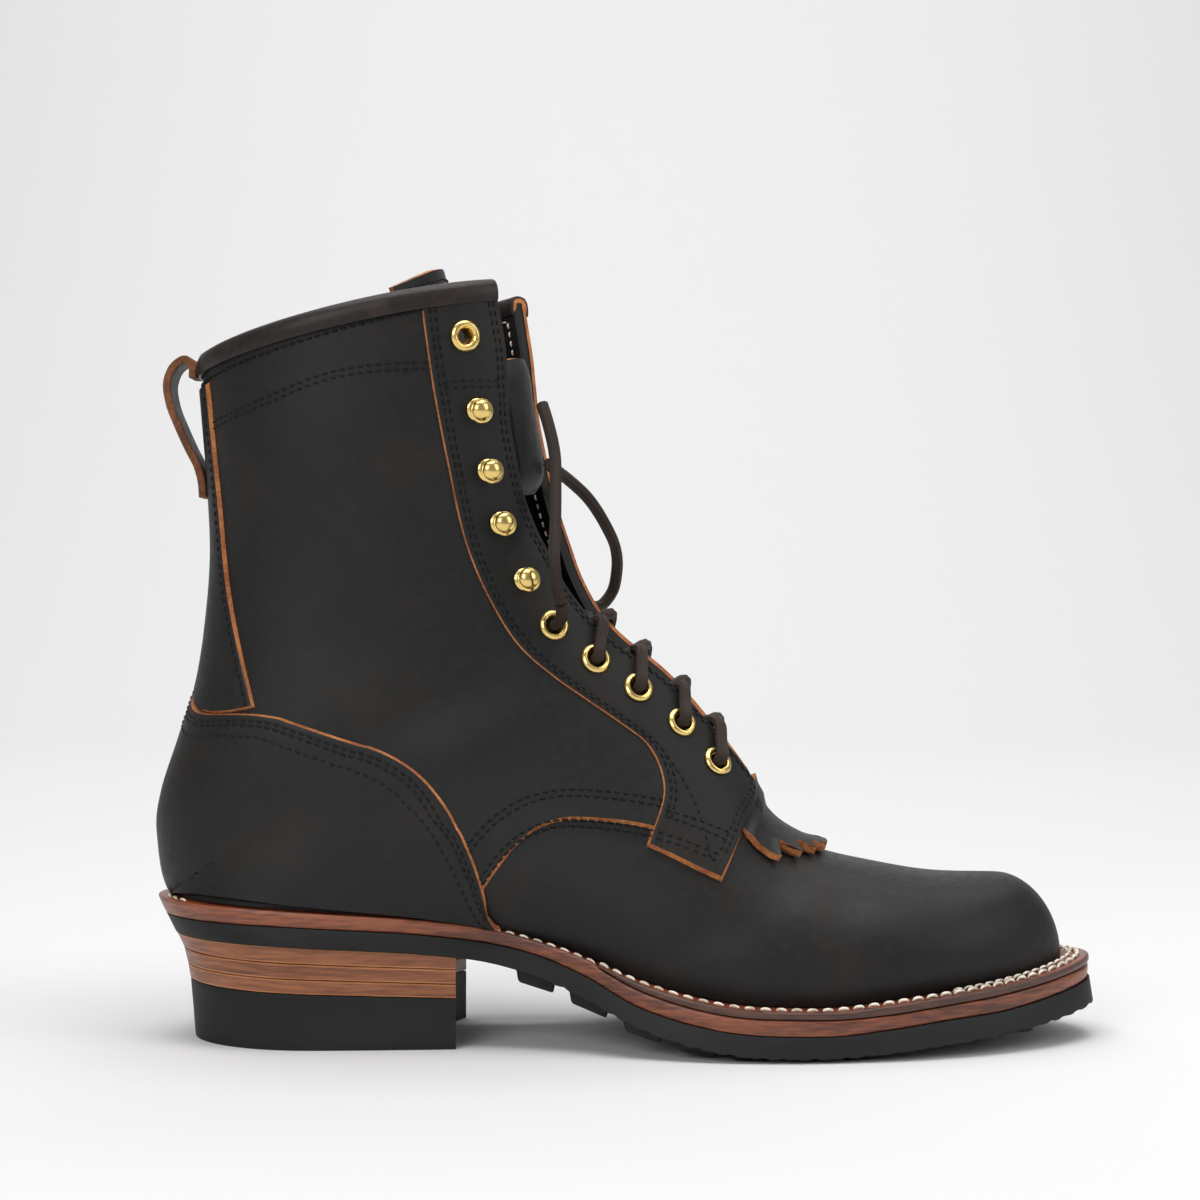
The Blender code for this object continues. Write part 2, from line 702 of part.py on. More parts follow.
def traced(table, count, side, low=0.4):
    """Places along a smooth curve through the side view's points, evenly spaced."""
    points = columns(table, "x", "z")
    length = np.concatenate([[0], np.cumsum(np.linalg.norm(np.diff(points, axis=0), axis=1))])
    path = Curve(length, points)
    return [LAST.locate(*path(at), side, low) for at in np.linspace(0, length[-1], count)]


def across(start, end, count, side):
    """Places on a straight run, in rows and turns, from one place to another."""
    return [
        (start[0] + (end[0] - start[0]) * t, start[1] + (end[1] - start[1]) * t, side)
        for t in np.linspace(0, 1, count)
    ]


# Edges of the raised pieces in the side view.
COUNTER_TOP = [
    ("x", "z"),
    (-21, 108.3),
    (7, 99.1),
    (21.5, 94.3),
    (31, 88.3),
    (38, 80.7),
    (44, 71.2),
    (48.5, 62.0),
    (52.5, 50.5),
    (54.0, 44.0),
]
COUNTER_TOP_ROW = 17.0
COUNTER_FRONT_X = 56.0
BACKSTAY_FRONT = [
    ("x", "z"),
    (-20.9, 109.6),
    (-23.9, 121.1),
    (-29.0, 144.2),
    (-33.0, 179.0),
    (-36.5, 213.5),
]
EYESTAY_REAR = [
    ("x", "z"),
    (33.8, 229.5),
    (36.9, 207.8),
    (41.0, 186.0),
    (47.3, 159.2),
    (53.8, 144.1),
    (62.7, 129.6),
    (74.2, 118.7),
    (85.7, 109.8),
    (95.2, 102.6),
    (103.5, 95.5),
    (109.1, 82.8),
    (104.9, 65.8),
]
EYESTAY_TOE = [
    ("x", "z"),
    (137.0, 77.5),
    (134.8, 71.5),
    (131.5, 63.8),
    (127.3, 55.3),
]
EYESTAY_TOP_ROW = 21.4
EYESTAY_FOOT_ROW = 7.0

# Hardware along each flap: the row of the section it lies in, and the lace's own order from the toe.
EYELET_PLACES = [
    ("kind", "x", "z"),
    ("eyelet", 124.6, 88.1),
    ("eyelet", 113.0, 100.9),
    ("eyelet", 99.8, 113.0),
    ("eyelet", 86.9, 123.3),
    ("eyelet", 73.8, 134.9),
    ("hook", 64.1, 150.0),
    ("hook", 56.5, 168.2),
    ("hook", 52.4, 185.2),
    ("hook", 49.1, 203.9),
    ("eyelet", 45.8, 226.1),
]
EYELET_RADIUS = 5.1
EYELET_BORE = 2.7
HOOK_RADIUS = 3.9


def heel_counter():
    """The raised wrap round the heel, from the feather line to its own curved top edge."""
    grid = []
    for side in (LATERAL, MEDIAL):
        edge = [(COUNTER_TOP_ROW, 1.0)] + traced(COUNTER_TOP, 24, side)[2:]
        top = spread(edge, 15, side)
        front = LAST.locate(COUNTER_FRONT_X, SOLE.level("seat", COUNTER_FRONT_X) + SEAT_GAP + 0.5, side)[0]
        low_rows = HEEL_ROW + 0.04 - (HEEL_ROW + 0.04 - front) * np.linspace(0, 1, 24)
        low = [(row, 1.0 - 0.03 * min(max(HEEL_ROW - row, 0.0) / 0.5, 1.0)) for row in low_rows]
        foot = spread(low, 15, side)
        part = [across(a, b, 6, side) for a, b in zip(top, foot)]
        grid = part[::-1] if side == LATERAL else grid + part[1:]
    return plate_on_last("counter", grid, black_leather(), WRAP_GAP, OVERLAY)


def backstay():
    """The strap up the back seam, widening down to the counter."""
    count = 9
    grid = []
    for side in (LATERAL, MEDIAL):
        front = spread(traced(BACKSTAY_FRONT, 16, side), count, side)
        rows = np.linspace(COUNTER_TOP_ROW + 0.1, front[-1][0], count)
        part = [across((row, 1.0), place, 4, side) for row, place in zip(rows, front)]
        if side == LATERAL:
            grid = [row[::-1] for row in part]
        else:
            grid = [a + b[1:] for a, b in zip(grid, part)]
    return plate_on_last("backstay", grid, black_leather(), WRAP_GAP, OVERLAY)


def eyestay_edges(side):
    """The facing's front and rear edges as places on the upper, from the collar down."""
    rows = np.linspace(EYESTAY_TOP_ROW, EYESTAY_FOOT_ROW, 24)
    front = [(row, LAST.flap_turn(row, side) + 0.003) for row in rows]
    front += [LAST.locate(x, z, side, low=5.0) for x, z in EYESTAY_TOE[1:]]
    return front, traced(EYESTAY_REAR, 30, side)


def eyestay(side):
    """The facing that carries the eyelets and hooks of one flap."""
    front, rear = eyestay_edges(side)
    count = 18
    pairs = zip(spread(front, count, side), spread(rear, count, side))
    grid = [across(a, b, 5, side) for a, b in pairs]
    name = "eyestay_lateral" if side == LATERAL else "eyestay_medial"
    return plate_on_last(name, grid, black_leather(), OVERLAY_GAP, OVERLAY)


def collar_binding():
    """The rolled edge over the collar, from one flap's edge round the back to the other's."""
    profile = [
        (0.6, 4.6),
        (1.9, 4.6),
        (1.9, 0.6),
        (0.6, -1.9),
        (-WALL - 0.6, -1.9),
        (-WALL - 1.9, 0.6),
        (-WALL - 1.8, 4.6),
        (-WALL - 0.6, 4.6),
        (-WALL - 0.6, -GAP),
        (0.6, -GAP),
    ]
    rings = []
    for side in (LATERAL, MEDIAL):
        start = LAST.flap_turn(COLLAR_ROW, side)
        turns = np.linspace(start, 1.0, 12)
        part = []
        for turn in turns:
            out = LAST.lifted(COLLAR_ROW, turn, side, 1.0) - LAST.point(COLLAR_ROW, turn, side)
            down = LAST.point(COLLAR_ROW - 0.4, turn, side) - LAST.point(COLLAR_ROW, turn, side)
            down /= np.linalg.norm(down)
            base = LAST.point(COLLAR_ROW, turn, side)
            part.append([base + out * n + down * d for n, d in profile])
        rings = part if side == LATERAL else rings + part[::-1][1:]
    return tube("collar_binding", rings, material("binding_leather", "#2c2623", 0.5))


# The pull loop's path up the back, in the side view, from its sewn top to its sewn foot.
PULL_LOOP = [
    ("x", "z"),
    (-44.9, 217.0),
    (-45.0, 220.5),
    (-47.2, 223.0),
    (-50.6, 221.3),
    (-53.2, 216.0),
    (-52.6, 209.0),
    (-49.6, 201.0),
    (-46.2, 193.5),
    (-43.2, 187.5),
    (-41.9, 182.5),
    (-41.5, 177.5),
]
LOOP_WIDTH = 15.0
LOOP_THICK = 2.2


def pull_loop():
    """The folded strap at the top of the backstay."""
    path = np.array(PULL_LOOP[1:], float)
    along = np.gradient(path, axis=0)
    along /= np.linalg.norm(along, axis=1)[:, None]
    side = np.stack([-along[:, 1], along[:, 0]], axis=1)
    rings = []
    for (x, z), (nx, nz) in zip(path, side):
        ring = []
        for across_sign, level in ((-1, -1), (1, -1), (1, 1), (-1, 1)):
            offset = level * LOOP_THICK / 2
            ring.append((x + nx * offset, across_sign * LOOP_WIDTH / 2, z + nz * offset))
        rings.append(ring)
    return tube("pull_loop", rings, black_leather())


# The tongue: how deep its face lies under the upper's surface, how far it leans back and its half-width.
TONGUE = [
    ("row", "lean", "half", "rise"),
    (5.4, 0.0, 22.0, 0),
    (6.5, 0.0, 24.0, 0),
    (8.0, 0.5, 26.0, 0),
    (10.0, 1.5, 27.0, 0),
    (12.0, 4.0, 28.0, 0),
    (14.0, 10.0, 29.0, 0),
    (16.0, 13.0, 30.0, 0),
    (18.0, 14.5, 31.0, 0),
    (20.0, 17.5, 32.0, 0),
    (21.9, 25.0, 33.0, 0),
    (22.0, 26.5, 33.0, 13.0),
]
TONGUE_DEPTH = 4.0


def tongue_point(values, share, depth):
    """A point of the tongue at a share of its half-width, -1 lateral to 1 medial."""
    row, lean, half, rise = values
    side = LATERAL if share < 0 else MEDIAL
    front, back, wide, _, front_power, _, _, _ = LAST.section(row, side)
    turn = math.asin((abs(share) * half / wide) ** (front_power / 2)) / math.pi
    point = LAST.lifted(row, turn, side, -depth)
    inward = np.array((back[0] - front[0], 0.0, back[1] - front[1]))
    inward /= np.linalg.norm(inward)
    up = np.array((-0.2, 0.0, 0.98)) * rise * (1 - 0.55 * share * share)
    return point + inward * lean + up


def tongue():
    """The padded sheet under the laces, leaning back inside the shaft at the top."""
    values = columns(TONGUE, *TONGUE[0])
    path = Curve(np.arange(len(values)), values)
    steps = np.unique(np.concatenate([np.linspace(0, len(values) - 1, 14), [len(values) - 2]]))
    shares = np.linspace(-1, 1, 7)
    high = [[tongue_point(path(s), t, TONGUE_DEPTH) for t in shares] for s in steps]
    low = [[tongue_point(path(s), t, TONGUE_DEPTH + TONGUE_WALL) for t in shares] for s in steps]
    return plate("tongue", high, low, black_leather())


# The bellows fold that stands forward between the flaps.
GUSSET = [
    ("z", "x", "lateral", "medial"),
    (178.5, 67.5, 17.0, 10.0),
    (182.0, 69.8, 18.0, 11.0),
    (190.0, 70.6, 19.0, 11.5),
    (200.0, 69.0, 19.5, 12.0),
    (211.0, 67.2, 19.5, 12.0),
    (219.0, 66.0, 18.5, 11.0),
    (223.5, 64.4, 16.0, 9.0),
]
GUSSET_SAG = 7.0
GUSSET_WALL = 2.0
GUSSET_TILT = 0.14


def gusset():
    grids = []
    for depth in (0.0, GUSSET_WALL):
        grid = []
        for z, x, lateral, medial in GUSSET[1:]:
            row = []
            for share in np.linspace(-1, 1, 9):
                y = share * (lateral if share < 0 else medial)
                row.append((x - depth - GUSSET_SAG * share * share, y, z + GUSSET_TILT * y * share * share))
            grid.append(row)
        grids.append(grid)
    return plate("gusset", grids[0], grids[1], black_leather())


# The kiltie's cut strips from the middle out: where each ends and where the next begins.
KILTIE_STRIPS = [
    ("inner", "outer", "tip_inner", "tip_outer"),
    (0.0, 6.5, 163.6, 163.4),
    (6.5, 12.5, 161.2, 162.4),
    (12.5, 18.5, 157.0, 158.6),
    (18.5, 25.0, 151.5, 153.4),
    (25.0, 31.5, 145.0, 146.2),
]
KILTIE_LIFT = 0.5
KILTIE_SLIT = 0.3
KILTIE_SETBACK = 0.25
KILTIE_TOP_ROW = 6.7


def row_at(x, turn, side):
    """The row whose point at this turn has this x, on the forefoot."""
    low, high = 0.5, 8.0
    for _ in range(30):
        middle = (low + high) / 2
        if LAST.point(middle, turn, side)[0] > x:
            low = middle
        else:
            high = middle
    return (low + high) / 2


def kiltie():
    """The false tongue over the vamp, its front cut into strips."""
    grid = []
    for side in (LATERAL, MEDIAL):
        front, _ = eyestay_edges(side)
        edge = sorted((turn, row) for row, turn in front[-6:])
        part = []
        for inner, outer, tip_inner, tip_outer in KILTIE_STRIPS[1:]:
            first = inner + KILTIE_SLIT / 2 if inner > 0 else 0.0
            for y, tip in ((first, tip_inner), (outer - KILTIE_SLIT / 2, tip_outer)):
                _, _, half, _, power, _, _, _ = LAST.section(5.0, side)
                turn = math.asin((y / half) ** (power / 2)) / math.pi
                start = np.interp(turn, [e[0] for e in edge], [e[1] for e in edge]) - KILTIE_SETBACK
                start = min(start, KILTIE_TOP_ROW)
                end = row_at(tip, turn, side)
                part.append([(start + (end - start) * t, turn, side) for t in np.linspace(0, 1, 5)])
        grid = part[::-1] if side == LATERAL else grid + part[1:]
    return plate_on_last("kiltie", grid, black_leather(), KILTIE_LIFT, KILTIE_WALL)


MEDIAL_SETBACK = 0.015


def fittings(side):
    """Each eyelet or hook of one flap: its kind, centre on the facing's face, and the outward direction."""
    for number, (kind, x, z) in enumerate(EYELET_PLACES[1:], 1):
        row, turn = LAST.locate(x, z, LATERAL)
        if side == MEDIAL:
            turn = LAST.flap_turn(row, MEDIAL) + turn - LAST.flap_turn(row, LATERAL) + MEDIAL_SETBACK
        out = LAST.normal(row, turn, side)
        yield number, kind, LAST.point(row, turn, side) + out * (OVERLAY_GAP + OVERLAY), out


def turned(name, profile, centre, out, look, segments):
    """A solid turned round an axis: profile points are (radius, height), the first and last may lie on it."""
    helper = np.array((0.0, 0.0, 1.0))
    first = np.cross(out, helper)
    first /= np.linalg.norm(first)
    second = np.cross(out, first)
    mesh = bmesh.new()
    rings = []
    for radius, height in profile:
        ring = []
        for i in range(segments):
            angle = 2 * math.pi * i / segments
            ring.append(centre + out * height + (first * math.cos(angle) + second * math.sin(angle)) * radius)
        rings.append(ring)
    closed = profile[0] == profile[-1]
    rows = add_grid(mesh, rings[:-1] if closed else rings, closed=True)
    if closed:
        for i in range(segments):
            j = (i + 1) % segments
            mesh.faces.new((rows[-1][i], rows[-1][j], rows[0][j], rows[0][i]))
    else:
        mesh.faces.new(rows[0])
        mesh.faces.new(rows[-1])
    return finish_mesh(name, mesh, look)


def hardware():
    """Eyelet rings and lace hooks. Returns the guides that bore the eyelets' holes."""
    bores = []
    for side, word in ((LATERAL, "lateral"), (MEDIAL, "medial")):
        for number, kind, centre, out in fittings(side):
            name = f"{kind}_{word}_{number}"
            if kind == "eyelet":
                profile = [
                    (EYELET_BORE, GAP),
                    (EYELET_RADIUS, GAP),
                    (EYELET_RADIUS - 0.7, GAP + 1.1),
                    (EYELET_BORE + 0.3, GAP + 1.2),
                    (EYELET_BORE, GAP),
                ]
                turned(name, profile, centre, out, brass(), 8)
                profile = [(EYELET_BORE + 0.2, -12.0), (EYELET_BORE + 0.2, 6.0)]
                bores.append(turned(f"bore_{word}_{number}", profile, centre, out, brass(), 8))
            else:
                profile = [
                    (3.0, GAP),
                    (1.6, GAP + 1.0),
                    (1.6, GAP + 3.2),
                    (HOOK_RADIUS, GAP + 3.7),
                    (HOOK_RADIUS - 1.2, GAP + 5.6),
                ]
                turned(name, profile, centre, out, brass(), 8)
    return bores


LACE_RADIUS = 1.9
LACE_LEAD = 6.0
LACE_LIFT = 9.2
LACE_TURN_LATERAL = np.array((-1.0, -2.0, 4.5))
LACE_TURN_MEDIAL = np.array((3.2, 3.2, 0.6))
LACE_ARCH = np.array((2.8, 0.0, 2.8))
LACE_RISE = np.array((6.0, 0.0, 5.8))


def lace_run(points, sides=6):
    """Rings of a round cord through the points."""
    points = np.array(points, float)
    along = np.gradient(points, axis=0)
    along /= np.linalg.norm(along, axis=1)[:, None]
    rings = []
    for point, way in zip(points, along):
        first = np.cross(way, (0.0, 0.3, 1.0))
        first /= np.linalg.norm(first)
        second = np.cross(way, first)
        angles = [2 * math.pi * i / sides for i in range(sides)]
        rings.append([point + (first * math.cos(a) + second * math.sin(a)) * LACE_RADIUS for a in angles])
    return rings


def arched(points):
    """A run with one more place above the middle of each straight, to clear the flap's edge."""
    rows = [points[0]]
    for start, stop in zip(points, points[1:]):
        rows += [(start + stop) / 2 + LACE_ARCH, stop]
    return rows


def lace_bars():
    """The crossings between the five lower eyelets of each flap, joined where they cross."""
    lateral = [(c + out * LACE_LIFT, out) for _, kind, c, out in fittings(LATERAL)][:5]
    medial = [(c + out * LACE_LIFT, out) for _, kind, c, out in fittings(MEDIAL)][:5]
    runs = []
    for first, second in ((lateral, medial), (medial, lateral)):
        points = []
        for i in range(5):
            here = (first if i % 2 == 0 else second)[i][0]
            points.append(here)
            if i < 4:
                corners = [first[i][0], second[i][0], first[i + 1][0], second[i + 1][0]]
                points.append(np.mean(corners, axis=0) + LACE_RISE)
        turn = LACE_TURN_LATERAL if points[-1][1] < 0 else LACE_TURN_MEDIAL
        runs.append(arched(points) + [points[-1] + turn])
    bottom = [lateral[0][0], (lateral[0][0] + medial[0][0]) / 2 + LACE_RISE, medial[0][0]]
    bottom = arched(bottom)
    item = tube("lace_bars", lace_run(runs[0]), lace_cord())
    combine(item, tube("lace_guide_cross", lace_run(runs[1]), lace_cord()), "UNION")
    combine(item, tube("lace_guide_bar", lace_run(bottom), lace_cord()), "UNION")
    return [(run[-1], run[-1] - run[-2]) for run in runs]


# Free laces beyond the bars, as places chosen along each: the lateral end and the loop on the medial side.
LACE_END = [
    ("x", "y", "z"),
    (75.0, -38.6, 155.5),
    (75.2, -33.0, 168.0),
    (75.2, -27.0, 180.0),
    (74.8, -22.0, 191.0),
    (72.6, -19.0, 201.0),
    (70.6, -16.0, 207.5),
]
LACE_LOOP = [
    ("x", "y", "z"),
    (93.6, 38.4, 146.2),
    (95.3, 34.8, 153.5),
    (94.8, 28.0, 161.5),
    (91.2, 21.0, 169.5),
    (85.5, 14.5, 178.0),
    (79.5, 8.0, 183.5),
    (74.6, 0.0, 187.0),
    (72.4, -7.0, 188.5),
]


def cord(name, bar_end, way, table):
    """A free length of lace from the end of a bar, as a bevelled path read from a smooth curve."""
    way = way / np.linalg.norm(way)
    start = bar_end + way * 2 * GAP
    places = np.vstack([start, start + way * LACE_LEAD, columns(table, "x", "y", "z")])
    steps = np.concatenate([[0], np.cumsum(np.linalg.norm(np.diff(places, axis=0), axis=1))])
    path = Curve(steps, places)
    count = int(steps[-1] / (4 * LACE_RADIUS)) + 1
    data = bpy.data.curves.new(name, "CURVE")
    data.dimensions = "3D"
    data.bevel_depth = LACE_RADIUS * MM
    data.bevel_resolution = 2
    data.use_fill_caps = True
    line = data.splines.new("POLY")
    line.points.add(count - 1)
    for target, at in zip(line.points, np.linspace(0, steps[-1], count)):
        target.co = (*(path(at) * MM), 1.0)
    data.materials.append(lace_cord())
    item = bpy.data.objects.new(name, data)
    bpy.context.scene.collection.objects.link(item)
    return item


def main():
    clear_scene()
    midsole()
    welt()
    outsole()
    heel_layers()
    insole()
    shell = upper()
    heel_counter()
    backstay()
    facings = [eyestay(side) for side in (LATERAL, MEDIAL)]
    collar_binding()
    pull_loop()
    tongue()
    gusset()
    kiltie()
    for bore in hardware():
        combine(shell, bore, "DIFFERENCE")
        combine(facings[0 if "lateral" in bore.name else 1], bore, "DIFFERENCE")
    from_lateral, from_medial = lace_bars()
    cord("lace_end_lateral", *from_lateral, LACE_END)
    cord("lace_loop_medial", *from_medial, LACE_LOOP)


main()
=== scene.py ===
"""Looks of a right-foot logger boot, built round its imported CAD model.

Sizes are in millimetres, in the frame of the CAD: +X to the toe, +Y to the inner side of the foot, +Z up.
"""

from __future__ import annotations

import logging
import math
from collections.abc import Callable, Iterator
from dataclasses import dataclass, field
from enum import Enum
from functools import partial

import bmesh
import bpy
import numpy as np
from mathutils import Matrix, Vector

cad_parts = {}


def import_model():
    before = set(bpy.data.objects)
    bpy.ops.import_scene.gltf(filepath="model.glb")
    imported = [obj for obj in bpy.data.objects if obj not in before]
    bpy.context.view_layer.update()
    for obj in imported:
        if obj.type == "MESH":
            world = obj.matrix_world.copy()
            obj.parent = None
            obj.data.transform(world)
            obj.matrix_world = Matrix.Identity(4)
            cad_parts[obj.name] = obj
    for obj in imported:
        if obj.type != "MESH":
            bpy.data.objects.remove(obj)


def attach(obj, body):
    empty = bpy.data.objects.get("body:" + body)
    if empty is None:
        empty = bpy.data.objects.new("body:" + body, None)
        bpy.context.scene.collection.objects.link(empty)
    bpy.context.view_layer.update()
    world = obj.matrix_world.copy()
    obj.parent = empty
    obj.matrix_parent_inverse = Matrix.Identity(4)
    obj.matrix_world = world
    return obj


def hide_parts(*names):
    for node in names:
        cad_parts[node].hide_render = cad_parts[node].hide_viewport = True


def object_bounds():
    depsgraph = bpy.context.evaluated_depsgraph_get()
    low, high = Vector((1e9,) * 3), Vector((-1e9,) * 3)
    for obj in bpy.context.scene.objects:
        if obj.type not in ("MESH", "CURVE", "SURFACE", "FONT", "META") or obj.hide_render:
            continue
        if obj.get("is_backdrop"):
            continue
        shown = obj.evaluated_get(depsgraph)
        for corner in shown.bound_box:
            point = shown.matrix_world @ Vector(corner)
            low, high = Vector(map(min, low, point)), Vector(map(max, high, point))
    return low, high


LOG = logging.getLogger("boot")
Array = np.ndarray
Tree = bpy.types.NodeTree
Socket = bpy.types.NodeSocket
MM = 0.001
LATERAL, MEDIAL = -1, 1
# One side for all points, or one for each
Side = np.ndarray | int

# Sizes shared with the CAD source
GAP = 0.3
SEAT_GAP = 0.5
WELT_GAP = 0.45
OVERLAY_GAP = 0.7
WRAP_GAP = 1.25
SOLE_REAR = -57.0
SOLE_TIP = 251.5
FEATHER_REAR = -50.0
FEATHER_TIP = 242.1
HEEL_ROUND = 42.0
TOE_ROUND = 75.0
FEATHER_TOE_ROUND = 68.0
TOE_BOX_ROUND = 20.0
TOE_POWER = 2.2
BREAST_X = 43.5
BREAST_HOLLOW = 6.5
WELT_START = 88.5
WALL = 2.2
OVERLAY = 1.5
HEEL_ROW = 13
THROAT_ROW = 6
FLAP_RISE = 4.5
LACE_RADIUS = 1.9
LACE_LEAD = 6.0
MEDIAL_SETBACK = 0.015

# Half-widths of the sole's edge and of the upper's foot on it, then the heights of the sole's joints
SOLE_PLAN = [
    ("x", "lateral", "medial"),
    (-57, 38.0, 37.0),
    (-20, 38.5, 37.5),
    (10, 38.0, 36.5),
    (35, 36.5, 32.0),
    (60, 35.5, 28.5),
    (80, 40.0, 29.0),
    (100, 49.0, 35.5),
    (120, 55.0, 43.5),
    (140, 57.2, 49.0),
    (158, 56.8, 51.0),
    (175, 54.5, 50.5),
    (195, 50.5, 49.0),
    (215, 46.0, 47.5),
    (235, 41.0, 45.0),
    (252, 37.0, 42.0),
]
FEATHER_PLAN = [
    ("x", "lateral", "medial"),
    (-50, 34.5, 33.5),
    (-20, 35.0, 34.0),
    (10, 34.5, 32.5),
    (35, 33.5, 28.5),
    (60, 33.0, 26.0),
    (80, 35.5, 26.0),
    (100, 41.5, 29.5),
    (120, 46.5, 36.0),
    (140, 48.7, 41.0),
    (158, 48.3, 43.0),
    (175, 46.0, 42.5),
    (195, 42.0, 41.0),
    (215, 37.5, 39.5),
    (242, 31.0, 36.0),
]
SOLE_LEVELS = [
    ("x", "seat", "welt_bottom", "midsole_bottom", "edge_bottom"),
    (-57, 46.7, 45.9, 41.2, 34.9),
    (-20, 45.2, 44.4, 40.3, 34.0),
    (4, 43.6, 42.8, 39.0, 32.7),
    (32, 41.7, 40.9, 37.2, 31.0),
    (55, 38.6, 37.8, 34.2, 28.0),
    (70, 35.0, 34.2, 30.6, 23.7),
    (86, 29.8, 28.9, 24.3, 16.9),
    (100, 24.3, 22.0, 17.0, 10.2),
    (115, 20.0, 17.2, 12.3, 5.3),
    (134, 16.6, 13.8, 9.0, 1.9),
    (150, 15.8, 13.2, 8.3, 1.2),
    (165, 15.8, 13.1, 8.4, 1.4),
    (181, 17.4, 14.3, 10.0, 2.5),
    (200, 19.4, 16.5, 12.1, 4.3),
    (218, 21.2, 18.4, 13.5, 6.1),
    (235, 23.6, 21.0, 16.3, 8.4),
    (254, 27.5, 24.5, 20.2, 11.8),
]
# Each heel layer's top at the rear and at the breast, and where its rear wall stands at its top and foot
HEEL_LAYERS = [
    ("name", "top_rear", "top_breast", "end_top", "end_bottom"),
    ("heel_lift_1", None, None, -50.8, -48.5),
    ("heel_lift_2", 29.4, 25.5, -48.4, -47.2),
    ("heel_lift_3", 24.1, 20.8, -47.1, -46.3),
    ("heel_cap", 19.2, 16.2, -46.2, -44.6),
]
TREAD = [
    ("x", "lug_bottom"),
    (52, 24.6),
    (70, 19.6),
    (86, 13.4),
    (100, 7.2),
    (115, 2.6),
    (130, 0.25),
    (138, 0.0),
    (165, 0.0),
    (172, 0.35),
    (185, 1.7),
    (205, 3.6),
    (225, 5.6),
    (250, 9.4),
]
RECESS_START = 50.0
RECESS_DEPTH = 1.6
# The upper from toe to collar, each section with its two ends in the side view, half-widths and form
UPPER_SECTIONS = [
    (
        *("front_x", "front_z", "back_x", "back_z", "lateral", "medial"),
        *("widest", "front_power", "back_power", "bow"),
    ),
    (242.1, 52.6, 242.1, 27.0, 32.5, 37.5, 0.80, 2.3, 2.0, 0),
    (222, 53.0, 222, 21.9, 38.5, 40.8, 0.80, 2.3, 2.0, 0),
    (200, 53.5, 200, 19.7, 43.8, 42.8, 0.80, 2.25, 2.0, 0),
    (180, 56.8, 180, 17.6, 47.5, 44.6, 0.80, 2.15, 2.0, 0),
    (163, 60.8, 160, 16.1, 50.5, 45.6, 0.80, 2.05, 2.0, 0),
    (150.5, 66.5, 141, 16.5, 50.8, 45.0, 0.80, 2.0, 2.0, 0),
    (143, 73.0, 123, 18.6, 49.5, 43.2, 0.79, 1.95, 2.0, 0),
    (138, 82.0, 103, 23.6, 47.0, 41.0, 0.77, 1.9, 2.0, 0),
    (130.5, 93.5, 80, 32.0, 44.0, 38.8, 0.75, 1.9, 2.0, 0),
    (121.0, 106.0, 54, 38.9, 41.0, 37.2, 0.72, 1.9, 2.0, 0),
    (110.5, 120.0, 25, 42.2, 38.8, 36.0, 0.68, 1.9, 2.1, 0),
    (99.0, 132.0, -5, 44.2, 37.6, 35.6, 0.64, 1.95, 2.1, 0),
    (91.0, 143.0, -32, 45.9, 37.2, 35.6, 0.60, 2.0, 2.1, 0),
    (86.0, 154.0, -49.9, 47.2, 36.8, 35.6, 0.57, 2.0, 2.1, 0),
    (82.5, 165.0, -54.6, 66.0, 36.4, 35.4, 0.54, 2.0, 2.2, 0),
    (79.5, 176.0, -53.4, 79.5, 35.8, 35.2, 0.52, 2.0, 2.2, 0),
    (77.0, 188.0, -47.8, 97.0, 35.6, 35.2, 0.51, 2.0, 2.2, 0),
    (75.0, 199.0, -42.0, 115.5, 36.6, 36.2, 0.50, 2.0, 2.2, 0),
    (73.5, 209.0, -38.6, 137.0, 38.0, 37.6, 0.50, 2.0, 2.2, 0.5),
    (72.3, 219.0, -37.0, 158.0, 39.8, 39.4, 0.50, 2.05, 2.2, 1.0),
    (71.4, 228.5, -37.8, 180.0, 41.6, 41.2, 0.50, 2.1, 2.2, 1.5),
    (70.6, 237.5, -39.6, 203.0, 43.0, 42.6, 0.50, 2.1, 2.2, 2.0),
    (70.0, 246.5, -41.2, 221.8, 43.8, 43.4, 0.50, 2.1, 2.2, 2.5),
]
COLLAR_ROW = len(UPPER_SECTIONS) - 2
# How far the two flaps' front edges lie from the middle of the foot
FLAP_EDGES = [
    ("row", "lateral", "medial"),
    (6, 10.0, 8.0),
    (7, 12.0, 9.5),
    (9, 12.2, 9.3),
    (12, 14.8, 10.2),
    (15, 19.8, 12.6),
    (18, 24.8, 16.8),
    (22, 31.0, 23.2),
]
# Edges of the overlays in the side view
COUNTER_TOP = [
    ("x", "z"),
    (-21, 108.3),
    (7, 99.1),
    (21.5, 94.3),
    (31, 88.3),
    (38, 80.7),
    (44, 71.2),
    (48.5, 62.0),
    (52.5, 50.5),
    (54.0, 44.0),
]
COUNTER_TOP_ROW = 17.0
COUNTER_FRONT_X = 56.0
BACKSTAY_FRONT = [
    ("x", "z"),
    (-20.9, 109.6),
    (-23.9, 121.1),
    (-29.0, 144.2),
    (-33.0, 179.0),
    (-36.5, 213.5),
]
EYESTAY_REAR = [
    ("x", "z"),
    (33.8, 229.5),
    (36.9, 207.8),
    (41.0, 186.0),
    (47.3, 159.2),
    (53.8, 144.1),
    (62.7, 129.6),
    (74.2, 118.7),
    (85.7, 109.8),
    (95.2, 102.6),
    (103.5, 95.5),
    (109.1, 82.8),
    (104.9, 65.8),
]
EYESTAY_TOE = [
    ("x", "z"),
    (137.0, 77.5),
    (134.8, 71.5),
    (131.5, 63.8),
    (127.3, 55.3),
]
EYESTAY_FOOT_ROW = 7.0
